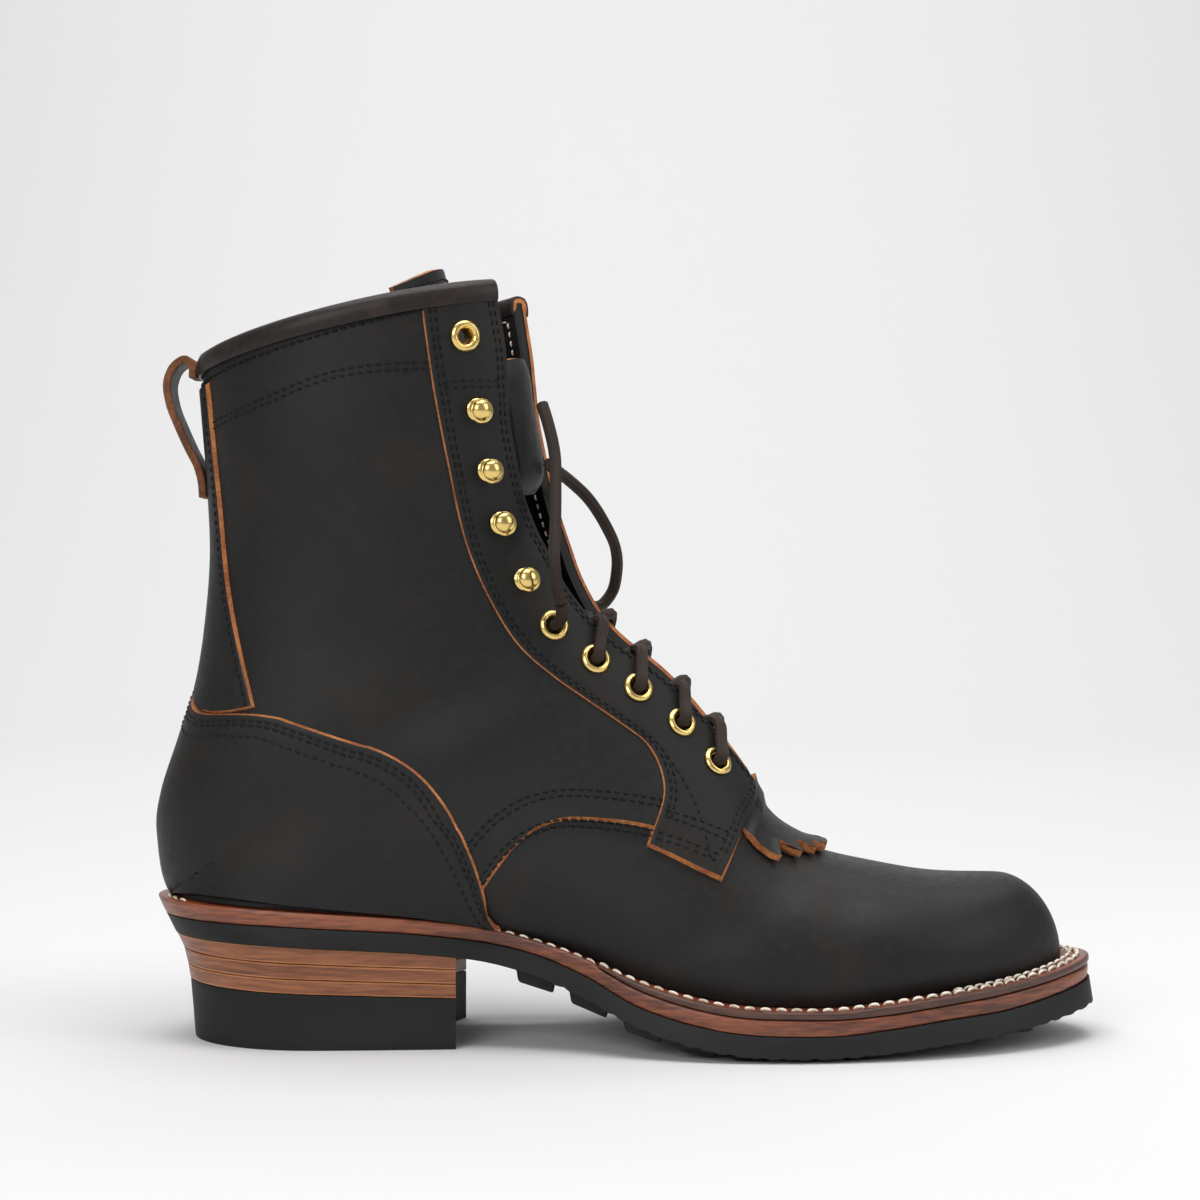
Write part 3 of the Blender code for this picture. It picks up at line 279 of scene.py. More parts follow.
# Stitch rows across the facing in the side view: two under the top eyelet, then those at its foot.
EYESTAY_CROSS_ROWS = [
    [(38.6, 211.6), (46.0, 212.6), (56.3, 213.6)],
    [(38.9, 209.6), (46.2, 210.6), (56.5, 211.6)],
    [(109.0, 75.8), (116.0, 73.3), (129.6, 67.4)],
    [(109.0, 73.8), (116.0, 71.2), (128.8, 65.4)],
    [(106.8, 95.0), (114.5, 84.0), (120.2, 73.0), (123.8, 60.2)],
    [(106.2, 67.6), (115.0, 64.6), (125.9, 59.6)],
    [(106.6, 69.4), (115.2, 66.4), (126.6, 61.4)],
]
TOP_BAND = [(-36.6, 200.6), (-17.0, 206.5), (4.5, 213.6), (28.5, 216.9), (35.0, 217.4)]
QUARTER_FOOT = [
    ("x", "z"),
    (108.0, 64.8),
    (104.9, 65.8),
    (98.0, 67.4),
    (90.4, 68.6),
    (83.0, 69.3),
    (76.8, 69.4),
    (68.6, 67.1),
    (61.3, 61.3),
    (56.5, 55.1),
    (52.3, 48.9),
    (48.5, 44.5),
]
EYELET_PLACES = [
    ("kind", "x", "z"),
    ("eyelet", 124.6, 88.1),
    ("eyelet", 113.0, 100.9),
    ("eyelet", 99.8, 113.0),
    ("eyelet", 86.9, 123.3),
    ("eyelet", 73.8, 134.9),
    ("hook", 64.1, 150.0),
    ("hook", 56.5, 168.2),
    ("hook", 52.4, 185.2),
    ("hook", 49.1, 203.9),
    ("eyelet", 45.8, 226.1),
]
# A stitch's rings as shares of half its length and of its thread's radius: place, height and radius
STITCH_HALF = [(0.25, 0.55, 1.05), (0.72, 0.1, 1), (1, -1.3, 0.75)]
STITCH_FORM = [(-reach, height, size) for reach, height, size in STITCH_HALF[::-1]] + STITCH_HALF
STITCH_SLANT = 0.07
STITCH_SINK = 0.12
EDGE_SINK = 0.3
RIDGE_SHARE = 0.07
EYELET_RADIUS = 5.1
EYELET_BORE = 2.7
HOOK_RADIUS = 3.9
# The rolled binding's section: how far out from the wall's face, and how far down from its top.
ROLL_FORM = [
    *((2.6, 5.0), (2.95, 4.0), (3.05, 2.2), (2.8, 0.3), (2.0, -1.2), (0.5, -1.9), (-1.0, -2.1)),
    *((-2.5, -1.8), (-3.7, -0.9), (-4.1, 0.8), (-4.1, 3.0), (-3.8, 4.5), (-3.0, 4.6), (-2.6, 3.0)),
    *((-2.4, 0.2), (-1.0, -0.1), (0.4, 0.2), (0.9, 3.0), (1.6, 5.0)),
]
PULL_LOOP = [
    ("x", "z"),
    (-44.9, 217.0),
    (-45.0, 220.5),
    (-47.2, 223.0),
    (-50.6, 221.3),
    (-53.2, 216.0),
    (-52.6, 209.0),
    (-49.6, 201.0),
    (-46.2, 193.5),
    (-43.2, 187.5),
    (-41.9, 182.5),
    (-41.5, 177.5),
]
TONGUE = [
    ("row", "lean", "half", "rise"),
    (5.4, 0.0, 22.0, 0),
    (6.5, 0.0, 24.0, 0),
    (8.0, 0.5, 26.0, 0),
    (10.0, 1.5, 27.0, 0),
    (12.0, 4.0, 28.0, 0),
    (14.0, 10.0, 29.0, 0),
    (16.0, 13.0, 30.0, 0),
    (18.0, 14.5, 31.0, 0),
    (20.0, 17.5, 32.0, 0),
    (21.9, 25.0, 33.0, 0),
    (22.0, 26.5, 33.0, 13.0),
]
TONGUE_DEPTH = 4.0
TONGUE_WALL = 2.6
GUSSET = [
    ("z", "x", "lateral", "medial"),
    (178.5, 67.5, 17.0, 10.0),
    (182.0, 69.8, 18.0, 11.0),
    (190.0, 70.6, 19.0, 11.5),
    (200.0, 69.0, 19.5, 12.0),
    (211.0, 67.2, 19.5, 12.0),
    (219.0, 66.0, 18.5, 11.0),
    (223.5, 64.4, 16.0, 9.0),
]
GUSSET_SAG = 7.0
GUSSET_WALL = 2.0
# The fringe's strips from the middle outwards: their sides across the foot and their tips along it
KILTIE_STRIPS = [
    ("inner", "outer", "tip_inner", "tip_outer"),
    (0.0, 6.5, 163.6, 163.4),
    (6.5, 12.5, 161.2, 162.4),
    (12.5, 18.5, 157.0, 158.6),
    (18.5, 25.0, 151.5, 153.4),
    (25.0, 31.5, 145.0, 146.2),
]
KILTIE_LIFT = 0.5
KILTIE_WALL = 2.4
LACE_RISE = np.array((6.0, 0.0, 5.8))
LACE_TURN_LATERAL = np.array((-1.0, -2.0, 4.5))
LACE_TURN_MEDIAL = np.array((3.2, 3.2, 0.6))
LACE_LIFT = 9.2
LACE_END = [
    ("x", "y", "z"),
    (75.0, -38.6, 155.5),
    (75.2, -33.0, 168.0),
    (75.2, -27.0, 180.0),
    (74.8, -22.0, 191.0),
    (72.6, -19.0, 201.0),
    (70.6, -16.0, 207.5),
]
LACE_LOOP = [
    ("x", "y", "z"),
    (93.6, 38.4, 146.2),
    (95.3, 34.8, 153.5),
    (94.8, 28.0, 161.5),
    (91.2, 21.0, 169.5),
    (85.5, 14.5, 178.0),
    (79.5, 8.0, 183.5),
    (74.6, 0.0, 187.0),
    (72.4, -7.0, 188.5),
]


def smooth(value: Array | float) -> Array:
    """Eases a share from 0 to 1 with level ends."""
    t = np.clip(value, 0.0, 1.0)
    return t * t * (3 - 2 * t)


def columns(table: list[tuple], *names: str) -> Array:
    """The named columns of a table whose first row holds the names."""
    return np.array([[row[table[0].index(n)] for n in names] for row in table[1:]], float)


def unit(vectors: Array) -> Array:
    """The vectors, each at length 1."""
    return vectors / np.maximum(np.linalg.norm(vectors, axis=-1, keepdims=True), 1e-12)


def arc_lengths(points: Array) -> Array:
    """The distance along a line of points, from 0 at the first."""
    return np.concatenate([[0], np.cumsum(np.linalg.norm(np.diff(points, axis=0), axis=1))])


def along_line(values: Array, steps: Array, at: Array) -> Array:
    """Values of a line's points at distances along it, straight between the points."""
    return np.stack([np.interp(at, steps, values[:, k]) for k in range(values.shape[1])], 1)


class Curve:
    """A smooth curve through a table's rows, one cubic piece between each pair."""

    def __init__(self, knots: Array, values: Array) -> None:
        """Fits the curve.

        Args:
            knots: the rising places along it, n of them.
            values: what it takes there, n rows.
        """
        self.knots = np.asarray(knots, float)
        values = np.asarray(values, float)
        self.values = values.reshape(len(values), -1)
        steps = np.diff(self.knots)[:, None]
        rises = np.diff(self.values, axis=0) / steps
        slopes = np.empty_like(self.values)
        slopes[0], slopes[-1] = rises[0], rises[-1]
        slopes[1:-1] = (steps[:-1] * rises[1:] + steps[1:] * rises[:-1]) / (steps[:-1] + steps[1:])
        self.slopes = slopes

    @classmethod
    def of(cls, table: list[tuple], along: str, *names: str) -> Curve:
        """A curve through the named columns of a table, by its rising column."""
        return cls(columns(table, along)[:, 0], columns(table, *names))

    def __call__(self, at: Array | float) -> Array:
        """The values at each place, in one more axis than the places have."""
        at = np.clip(np.asarray(at, float), self.knots[0], self.knots[-1])
        i = np.clip(np.searchsorted(self.knots, at) - 1, 0, len(self.knots) - 2)
        width = (self.knots[i + 1] - self.knots[i])[..., None]
        t = (at - self.knots[i])[..., None] / width
        start = (1 + 2 * t) * (1 - t) ** 2 * self.values[i] + t * (1 - t) ** 2 * width * self.slopes[i]
        end = t * t * (3 - 2 * t) * self.values[i + 1] + t * t * (t - 1) * width * self.slopes[i + 1]
        return start + end


def through(points: Array, count: int) -> Array:
    """Draws a smooth curve through points.

    Args:
        points: the points.
        count: how many to return.

    Returns:
        Points spaced evenly along the curve.
    """
    points = np.asarray(points, float)
    steps = arc_lengths(points)
    return Curve(steps, points)(np.linspace(0, steps[-1], count))


def end_round(depth: Array | float, length: float, power: float = 2.0) -> Array:
    """The share of full width at this depth in from a round end: 0 at the end, 1 from the given length on."""
    inner = 1 - np.clip(np.asarray(depth, float) / length, 0.0, 1.0)
    return (1 - inner**power) ** (1 / power)


class Sole:
    """The sole's plan and layer heights as functions of the place along the foot."""

    def __init__(self) -> None:
        """Fits the curves of the tables."""
        self.plan = Curve.of(SOLE_PLAN, "x", "lateral", "medial")
        self.feather_plan = Curve.of(FEATHER_PLAN, "x", "lateral", "medial")
        self.names = SOLE_LEVELS[0][1:]
        self.levels = Curve.of(SOLE_LEVELS, "x", *self.names)
        self.tread = Curve.of(TREAD, "x", "lug_bottom")

    @staticmethod
    def choose(values: Array, side: Side) -> Array:
        """The lateral or the medial one of two values."""
        return np.where(np.asarray(side) < 0, values[..., 0], values[..., 1])

    def half(
        self, x: Array, side: int, rear: float = SOLE_REAR, tip: float = SOLE_TIP, inset: float = 0.0
    ) -> Array:
        """Half-width of the sole's edge, for an outline that ends at rear and tip."""
        width = self.choose(self.plan(x), side) - inset
        return width * end_round(x - rear, HEEL_ROUND) * end_round(tip - x, TOE_ROUND, TOE_POWER)

    def feather(self, x: Array, side: Side, inset: float = 0.0) -> Array:
        """Half-width of the feather line, or of a line that runs this far inside it."""
        width = self.choose(self.feather_plan(x), side) - inset
        rear, tip = FEATHER_REAR + inset, FEATHER_TIP - inset
        return width * end_round(x - rear, HEEL_ROUND - 5) * end_round(tip - x, FEATHER_TOE_ROUND, TOE_POWER)

    def level(self, name: str, x: Array | float) -> Array:
        """Height of one of the joints between the layers."""
        return self.levels(x)[..., self.names.index(name)]

    def lugs(self, x: Array | float) -> Array:
        """The height of the lugs' faces, never below the floor."""
        return np.maximum(self.tread(x)[..., 0], 0.0)

    def recess(self, x: Array | float) -> Array:
        """The underside between rim and lugs, raised forward of the heel."""
        return self.level("edge_bottom", x) + RECESS_DEPTH * np.clip((x - RECESS_START) / 10.0, 0.0, 1.0)


SOLE = Sole()

# Soft troughs and swells of the worn leather in the side view: a run's two ends, its half-breadth and depth.
CREASES = [
    ("x1", "z1", "x2", "z2", "breadth", "depth"),
    (62.0, 122.0, 22.0, 104.0, 8.0, 1.1),
    (52.0, 136.0, 8.0, 128.0, 12.0, 0.7),
    (70.0, 108.0, 40.0, 94.0, 7.0, -0.7),
    (20.0, 160.0, -18.0, 148.0, 14.0, 0.6),
    (28.0, 200.0, -20.0, 190.0, 16.0, -0.5),
    (150.0, 52.0, 118.0, 36.0, 8.0, 0.7),
    (170.0, 48.0, 150.0, 26.0, 9.0, 0.5),
    (0.0, 76.0, -40.0, 70.0, 14.0, 0.5),
]


class Last:
    """The upper's outer surface, by row from the toe at 0 to the collar, and turn from 0 in front to 1 behind."""

    def __init__(self) -> None:
        """Fits the sections and the flaps' edges."""
        values = columns(UPPER_SECTIONS, *UPPER_SECTIONS[0])
        self.rows = Curve(np.arange(len(values)), values)
        self.flaps = Curve.of(FLAP_EDGES, "row", "lateral", "medial")

    def section(self, row: Array, side: Side) -> tuple[Array, ...]:
        """The upper's section at a row.

        Args:
            row: the row, which may lie between two rows of the table.
            side: LATERAL or MEDIAL.

        Returns:
            Its front and back end, half-width, widest place, two powers, half-width at the back end, and bow.
        """
        row = np.asarray(row, float)
        values = np.moveaxis(self.rows(row), -1, 0)
        front_x, front_z, back_x, back_z, lateral, medial, widest, front_power, back_power, bow = values
        half = np.where(np.asarray(side) < 0, lateral, medial)
        low = row <= HEEL_ROW
        foot = np.where(low, SOLE.feather(back_x, side), 0.0)
        back_z = np.where(low, SOLE.level("seat", back_x) + SEAT_GAP, back_z)
        toe = row < 4
        half = np.where(toe, half * end_round(FEATHER_TIP - back_x, FEATHER_TOE_ROUND, TOE_POWER), half)
        risen = back_z + (front_z - back_z) * end_round(FEATHER_TIP - front_x, TOE_BOX_ROUND)
        front_z = np.where(toe, risen, front_z)
        foot = np.minimum(foot, 0.985 * half)
        return front_x, front_z, back_x, back_z, half, widest, front_power, back_power, foot, bow

    @staticmethod
    def share(
        turn: Array, half: Array, widest: Array, front_power: Array, back_power: Array, foot: Array
    ) -> tuple[Array, Array]:
        """The shape of a section.

        Args:
            turn: where on it, from 0 at the front to 1 at the back.
            half: its half-width.
            widest: where it is widest, as a share of its depth.
            front_power: how square its front half is, 2 for an ellipse.
            back_power: how square its back half is.
            foot: its half-width at the back end.

        Returns:
            How far back the place is and how wide, as shares of the depth and the half-width.
        """
        angle = math.pi * np.minimum(turn, 0.5)
        back_a = widest * (1 - np.clip(np.cos(angle), 0, 1) ** (2 / front_power))
        wide_a = np.clip(np.sin(angle), 0, 1) ** (2 / front_power)
        end = np.arccos(np.minimum(foot / np.maximum(half, 1e-9), 1.0) ** (back_power / 2))
        angle = end * np.clip(turn - 0.5, 0, 0.5) * 2
        reach = (1 - widest) / np.sin(end) ** (2 / back_power)
        back_b = widest + reach * np.clip(np.sin(angle), 0, 1) ** (2 / back_power)
        wide_b = np.clip(np.cos(angle), 0, 1) ** (2 / back_power)
        early = turn <= 0.5
        return np.where(early, back_a, back_b), np.where(early, wide_a, wide_b)

    def plain(self, row: Array, turn: Array, side: Side) -> Array:
        """The outer surface without its creases.

        Args:
            row: the place from toe to collar.
            turn: the place from front to back.
            side: LATERAL or MEDIAL.

        Returns:
            The point or points there.
        """
        front_x, front_z, back_x, back_z, half, *form, bow = self.section(row, side)
        turn = np.clip(turn, 0.0, 1.0)
        along, wide = self.share(turn, half, *form)
        depth = np.maximum(np.hypot(front_x - back_x, front_z - back_z), 1e-6)
        along = along - self.flap_rise(row, turn) / depth
        x = front_x + (back_x - front_x) * along
        z = front_z + (back_z - front_z) * along + bow * 4 * along * (1 - along)
        return np.stack(np.broadcast_arrays(x, side * half * wide, z), axis=-1)

    @staticmethod
    def flap_rise(row: Array, turn: Array) -> Array:
        """How far the tongue and kiltie under the flaps lift them over the instep."""
        row = np.asarray(row, float)
        start = smooth((row - THROAT_ROW) / 1.3)
        fade = smooth((THROAT_ROW + 6 - row) / 3.0)
        return FLAP_RISE * start * fade * np.exp(-((turn / 0.24) ** 2))

    def normal(self, row: Array, turn: Array, side: Side) -> Array:
        """The outward direction there."""
        turn = np.clip(turn, 0.02, 0.98)
        row = np.minimum(row, COLLAR_ROW)
        low, high = np.maximum(row - 0.02, 0.01), np.minimum(row + 0.02, COLLAR_ROW)
        along = self.plain(high, turn, side) - self.plain(low, turn, side)
        around = self.plain(row, turn + 0.01, side) - self.plain(row, turn - 0.01, side)
        return unit(np.cross(around, along) * np.asarray(side)[..., None])

    @staticmethod
    def relief(points: Array) -> Array:
        """How far the creases lift or sink the surface, which fades out at the sole and the collar."""
        x, z = points[..., 0], points[..., 2]
        total = np.zeros(x.shape)
        for x1, z1, x2, z2, breadth, depth in columns(CREASES, *CREASES[0]):
            along = np.array((x2 - x1, z2 - z1))
            length = np.hypot(*along)
            share = ((x - x1) * along[0] + (z - z1) * along[1]) / length**2
            off = ((x - x1) * along[1] - (z - z1) * along[0]) / length
            ends = np.exp(-((np.clip(np.abs(share - 0.5) - 0.3, 0, None) / 0.28) ** 2))
            total -= depth * np.exp(-((off / breadth) ** 2)) * ends
        clear = smooth((z - SOLE.level("seat", x) - 3.0) / 14.0) * smooth((226.0 - z) / 20.0)
        sides = smooth((np.abs(points[..., 1]) - 10.0) / 16.0)
        return total * clear * sides

    def skin(self, row: Array, turn: Array, side: Side) -> tuple[Array, Array]:
        """Points of the creased surface and their outward directions."""
        out = self.out(row, turn, side)
        plain = self.plain(row, turn, side)
        return plain + out * self.relief(plain)[..., None], out

    def out(self, row: Array | float, turn: Array | float, side: Side) -> Array:
        """The outward direction, kept in the mid-plane at the front and back seams."""
        row, turn, side = np.broadcast_arrays(np.asarray(row, float), turn, side)
        out = self.normal(row, turn, side)
        seam = (turn < 0.001) | ((turn > 0.999) & (row >= HEEL_ROW))
        out = np.where(seam[..., None], out * np.array((1.0, 0.0, 1.0)), out)
        return unit(out)

    def locate(self, x: Array, z: Array, side: int, low: float = 0.4) -> Array:
        """Finds places on the upper from the side view.

        Args:
            x: their places along the foot.
            z: their heights.
            side: LATERAL or MEDIAL.
            low: the first row that is searched.

        Returns:
            Their rows and turns, as pairs.
        """
        x, z = np.atleast_1d(np.asarray(x, float)), np.atleast_1d(np.asarray(z, float))
        steps = np.linspace(low, COLLAR_ROW, 160)
        front_x, front_z, back_x, back_z = self.section(steps, side)[:4]
        off = (x[:, None] - front_x) * (back_z - front_z) - (z[:, None] - front_z) * (back_x - front_x)
        crossing = off[:, :-1] * off[:, 1:] <= 0
        first = np.argmax(crossing, axis=1)
        pick = np.arange(len(x))
        a, b = np.abs(off[pick, first]), np.abs(off[pick, first + 1])
        row = steps[first] + (steps[first + 1] - steps[first]) * a / np.maximum(a + b, 1e-9)
        row = np.where(crossing.any(axis=1), row, COLLAR_ROW)
        front_x, front_z, back_x, back_z, *form, _ = self.section(row, side)
        deep_x, deep_z = back_x - front_x, back_z - front_z
        share = ((x - front_x) * deep_x + (z - front_z) * deep_z) / np.maximum(deep_x**2 + deep_z**2, 1e-9)
        lower, upper = np.zeros(len(x)), np.ones(len(x))
        for _ in range(30):
            middle = (lower + upper) / 2
            below = self.share(middle, *form)[0] < share
            lower, upper = np.where(below, middle, lower), np.where(below, upper, middle)
        return np.stack([row, (lower + upper) / 2], axis=1)

    def flap_turn(self, row: Array, side: int) -> Array:
        """The turn at which a flap's front edge lies."""
        row = np.asarray(row, float)
        reach = SOLE.choose(self.flaps(np.maximum(row, THROAT_ROW)), side)
        section = self.section(row, side)
        half, front_power = section[4], section[6]
        full = np.arcsin(np.clip(reach / half, 0, 1) ** (front_power / 2)) / math.pi
        return np.where(row <= THROAT_ROW, 0.0, full * np.sqrt(np.clip((row - THROAT_ROW) / 0.6, 0.0, 1.0)))

    def spread(self, places: Array, count: int, side: int) -> Array:
        """Spaces places evenly along the surface, on a smooth curve through the given ones.

        Args:
            places: rows and turns, as pairs.
            count: how many to return.
            side: LATERAL or MEDIAL.

        Returns:
            The new rows and turns.
        """
        points = self.plain(places[:, 0], places[:, 1], side)
        steps = arc_lengths(points)
        keep = np.concatenate([[True], np.diff(steps) > 1e-6])
        return Curve(steps[keep], places[keep])(np.linspace(0, steps[-1], count))

    def traced(self, table: list[tuple], count: int, side: int, low: float = 0.4) -> Array:
        """Evenly spaced places along a smooth curve through a table's points in the side view."""
        points = through(columns(table, "x", "z"), count)
        return self.locate(points[:, 0], points[:, 1], side, low)


LAST = Last()


def hex_linear(code: str) -> tuple[float, float, float, float]:
    """An sRGB hex colour as linear red, green, blue and alpha."""
    levels = [int(code[i : i + 2], 16) / 255 for i in (1, 3, 5)]
    return (*[c / 12.92 if c <= 0.04045 else ((c + 0.055) / 1.055) ** 2.4 for c in levels], 1.0)


def set_inputs(tree: Tree, node: bpy.types.Node, sockets: dict) -> None:
    """Gives a node's inputs their values, and links those whose value is another node's output."""
    for key, value in sockets.items():
        if isinstance(value, Socket):
            tree.links.new(value, node.inputs[key])
        else:
            node.inputs[key].default_value = value


def add_node(tree: Tree, kind: str, sockets: dict, stops: tuple = (), **settings: str) -> bpy.types.Node:
    """Adds a node to a material.

    Args:
        tree: the material's tree.
        kind: the node's type name.
        sockets: values for its inputs, or other nodes' outputs to link to them.
        stops: places and hex colours of a colour ramp.
        settings: its own properties.

    Returns:
        The node.
    """
    made = tree.nodes.new(kind)
    for name, value in settings.items():
        setattr(made, name, value)
    set_inputs(tree, made, sockets)
    for i, (place, colour) in enumerate(stops):
        stop = made.color_ramp.elements[i] if i < 2 else made.color_ramp.elements.new(place)
        stop.position, stop.color = place, hex_linear(colour)
    return made


def new_material(name: str) -> tuple[bpy.types.Material, Tree, bpy.types.Node, Socket]:
    """An empty material with its tree, its shader and the place on the object in metres."""
    made = bpy.data.materials.new(name)
    made.use_nodes = True
    tree = made.node_tree
    place = add_node(tree, "ShaderNodeTexCoord", {}).outputs["Object"]
    return made, tree, tree.nodes["Principled BSDF"], place


def noise(tree: Tree, place: Socket, size_mm: float, stretch: tuple = (1, 1, 1), detail: float = 4) -> Socket:
    """Noise in the leather, rubber or metal.

    Args:
        tree: the material's tree.
        place: the place on the object in metres.
        size_mm: the size of its lumps.
        stretch: how many times longer they are along each axis.
        detail: how many finer layers it has.

    Returns:
        Its value, from 0 to 1.
    """
    factors = tuple(1 / s for s in stretch)
    scaled = add_node(tree, "ShaderNodeVectorMath", {0: place, 1: factors}, operation="MULTIPLY").outputs[0]
    sockets = {"Vector": scaled, "Scale": 1 / (size_mm * MM), "Detail": detail, "Roughness": 0.55}
    return add_node(tree, "ShaderNodeTexNoise", sockets).outputs["Fac"]


def bump(tree: Tree, height: Socket, depth_mm: float, strength: float, below: Socket | None = None) -> Socket:
    """Fine relief in the surface.

    Args:
        tree: the material's tree.
        height: the relief, from 0 to 1.
        depth_mm: its real depth.
        strength: how much of it shows.
        below: the relief that it lies on.

    Returns:
        The normal.
    """
    sockets = {"Height": height, "Distance": depth_mm * MM, "Strength": strength}
    if below is not None:
        sockets["Normal"] = below
    return add_node(tree, "ShaderNodeBump", sockets).outputs["Normal"]


@dataclass(frozen=True)
class Leather:
    """Full-grain leather, drum-dyed and stuffed with oil and wax.

    The oil gives it a low soft shine and paler pulled-up patches over fine pores and wrinkles. The pores are
    drawn coarser than real ones, so that they show.
    """

    name: str
    colour: str
    warm: str
    grey: str
    patch_mm: float = 34.0
    pore_mm: float = 1.1
    wrinkle_mm: float = 2.6
    wave_mm: float = 14.0
    roughness: float = 0.5
    relief: float = 0.35

    def build(self) -> bpy.types.Material:
        """Makes the material."""
        made, tree, shader, place = new_material(self.name)
        patches = noise(tree, place, self.patch_mm, detail=3)
        fine = noise(tree, place, self.wrinkle_mm, detail=5)
        stops = ((0.36, self.colour), (0.74, self.warm), (0.52, self.colour))
        dye = add_node(tree, "ShaderNodeValToRGB", {"Fac": patches}, stops).outputs[0]
        scuff = add_node(tree, "ShaderNodeMapRange", {0: fine, 1: 0.5, 2: 0.78, 3: 0.0, 4: 0.42}).outputs[0]
        both = {0: scuff, 6: dye, 7: hex_linear(self.grey)}
        colour = add_node(tree, "ShaderNodeMix", both, data_type="RGBA").outputs[2]
        span = {0: fine, 1: 0.3, 2: 0.7, 3: self.roughness - 0.06, 4: self.roughness + 0.1}
        gloss = add_node(tree, "ShaderNodeMapRange", span).outputs[0]
        cells = {"Vector": place, "Scale": 1 / (self.pore_mm * MM), "Randomness": 1.0}
        pores = add_node(tree, "ShaderNodeTexVoronoi", cells, feature="DISTANCE_TO_EDGE").outputs["Distance"]
        normal = bump(tree, pores, 0.06, self.relief * 0.5)
        normal = bump(tree, fine, 0.22, self.relief, normal)
        normal = bump(tree, noise(tree, place, self.wave_mm, detail=2), 0.7, 0.35, normal)
        set_inputs(tree, shader, {"Base Color": colour, "Roughness": gloss, "Normal": normal, "IOR": 1.48})
        set_inputs(tree, shader, {"Specular IOR Level": 0.26, "Coat Weight": 0.04, "Coat Roughness": 0.34})
        return made


@dataclass(frozen=True)
class CutEdge:
    """The cut through vegetable-tanned leather, raw or waxed and burnished.

    The knife leaves it fibrous, with darker and paler bundles. Wax gives a sole's edge some gloss.
    """

    name: str
    pale: str
    dark: str
    fibre_mm: float = 0.9
    stretch: tuple = (1.0, 1.0, 1.0)
    roughness: float = 0.82
    gloss: float = 0.0

    def build(self) -> bpy.types.Material:
        """Makes the material."""
        made, tree, shader, place = new_material(self.name)
        fibres = noise(tree, place, self.fibre_mm, self.stretch, 6)
        broad = noise(tree, place, self.fibre_mm * 9, self.stretch, 3)
        total = add_node(tree, "ShaderNodeMath", {0: fibres, 1: broad}, operation="ADD").outputs[0]
        mean = add_node(tree, "ShaderNodeMath", {0: total, 1: 0.5}, operation="MULTIPLY").outputs[0]
        stops = ((0.41, self.dark), (0.6, self.pale))
        colour = add_node(tree, "ShaderNodeValToRGB", {"Fac": mean}, stops).outputs[0]
        set_inputs(tree, shader, {"Base Color": colour, "Roughness": self.roughness, "Coat Roughness": 0.25})
        set_inputs(tree, shader, {"Coat Weight": self.gloss, "Normal": bump(tree, fibres, 0.25, 0.5)})
        return made


@dataclass(frozen=True)
class Rubber:
    """Moulded and ground black rubber: matt, with a faint grey bloom and fine grinding grain."""

    name: str = "ground_black_rubber"
    colour: str = "#1c1d1d"
    bloom: str = "#262727"
    bloom_mm: float = 24.0
    grain_mm: float = 0.8

    def build(self) -> bpy.types.Material:
        """Makes the material."""
        made, tree, shader, place = new_material(self.name)
        broad = noise(tree, place, self.bloom_mm, (3, 3, 1), 3)
        stops = ((0.35, self.colour), (0.7, self.bloom))
        colour = add_node(tree, "ShaderNodeValToRGB", {"Fac": broad}, stops).outputs[0]
        grain = noise(tree, place, self.grain_mm, (2.5, 2.5, 1), 4)
        set_inputs(tree, shader, {"Base Color": colour, "Roughness": 0.58, "IOR": 1.5})
        set_inputs(tree, shader, {"Specular IOR Level": 0.2, "Normal": bump(tree, grain, 0.08, 0.4)})
        return made


@dataclass(frozen=True)
class Brass:
    """Stamped and barrel-polished brass: bright yellow metal with soft tumbling haze."""

    name: str = "polished_brass"
    colour: str = "#eccd80"
    haze_mm: float = 1.2

    def build(self) -> bpy.types.Material:
        """Makes the material."""
        made, tree, shader, place = new_material(self.name)
        haze = noise(tree, place, self.haze_mm, detail=4)
        rough = add_node(tree, "ShaderNodeMapRange", {0: haze, 1: 0.3, 2: 0.7, 3: 0.16, 4: 0.3}).outputs[0]
        set_inputs(tree, shader, {"Base Color": hex_linear(self.colour), "Metallic": 1.0, "Roughness": rough})
        set_inputs(tree, shader, {"Normal": bump(tree, haze, 0.03, 0.25)})
        return made


@dataclass(frozen=True)
class Thread:
    """Twisted sewing thread, bonded or waxed: satin, with its strands' slanted lines drawn coarse to show, and
    painted shade darkening its colour in the grooves between them.
    """

    name: str
    colour: str
    shade: str
    strand_mm: float = 0.5
    roughness: float = 0.5

    def build(self) -> bpy.types.Material:
        """Makes the material."""
        made, tree, shader, place = new_material(self.name)
        bands = {"Vector": place, "Scale": 1 / (20 * self.strand_mm * MM), "Distortion": 1.5, "Detail": 2.0}
        strands = add_node(tree, "ShaderNodeTexWave", bands, bands_direction="DIAGONAL").outputs["Fac"]
        # Painted shade: the colour runs down to the shade colour in the grooves between the strands.
        stops = ((0.1, self.shade), (0.7, self.colour))
        colour = add_node(tree, "ShaderNodeValToRGB", {"Fac": strands}, stops).outputs[0]
        set_inputs(tree, shader, {"Base Color": colour, "Roughness": self.roughness})
        set_inputs(tree, shader, {"Specular IOR Level": 0.22, "Normal": bump(tree, strands, 0.08, 0.5)})
        return made


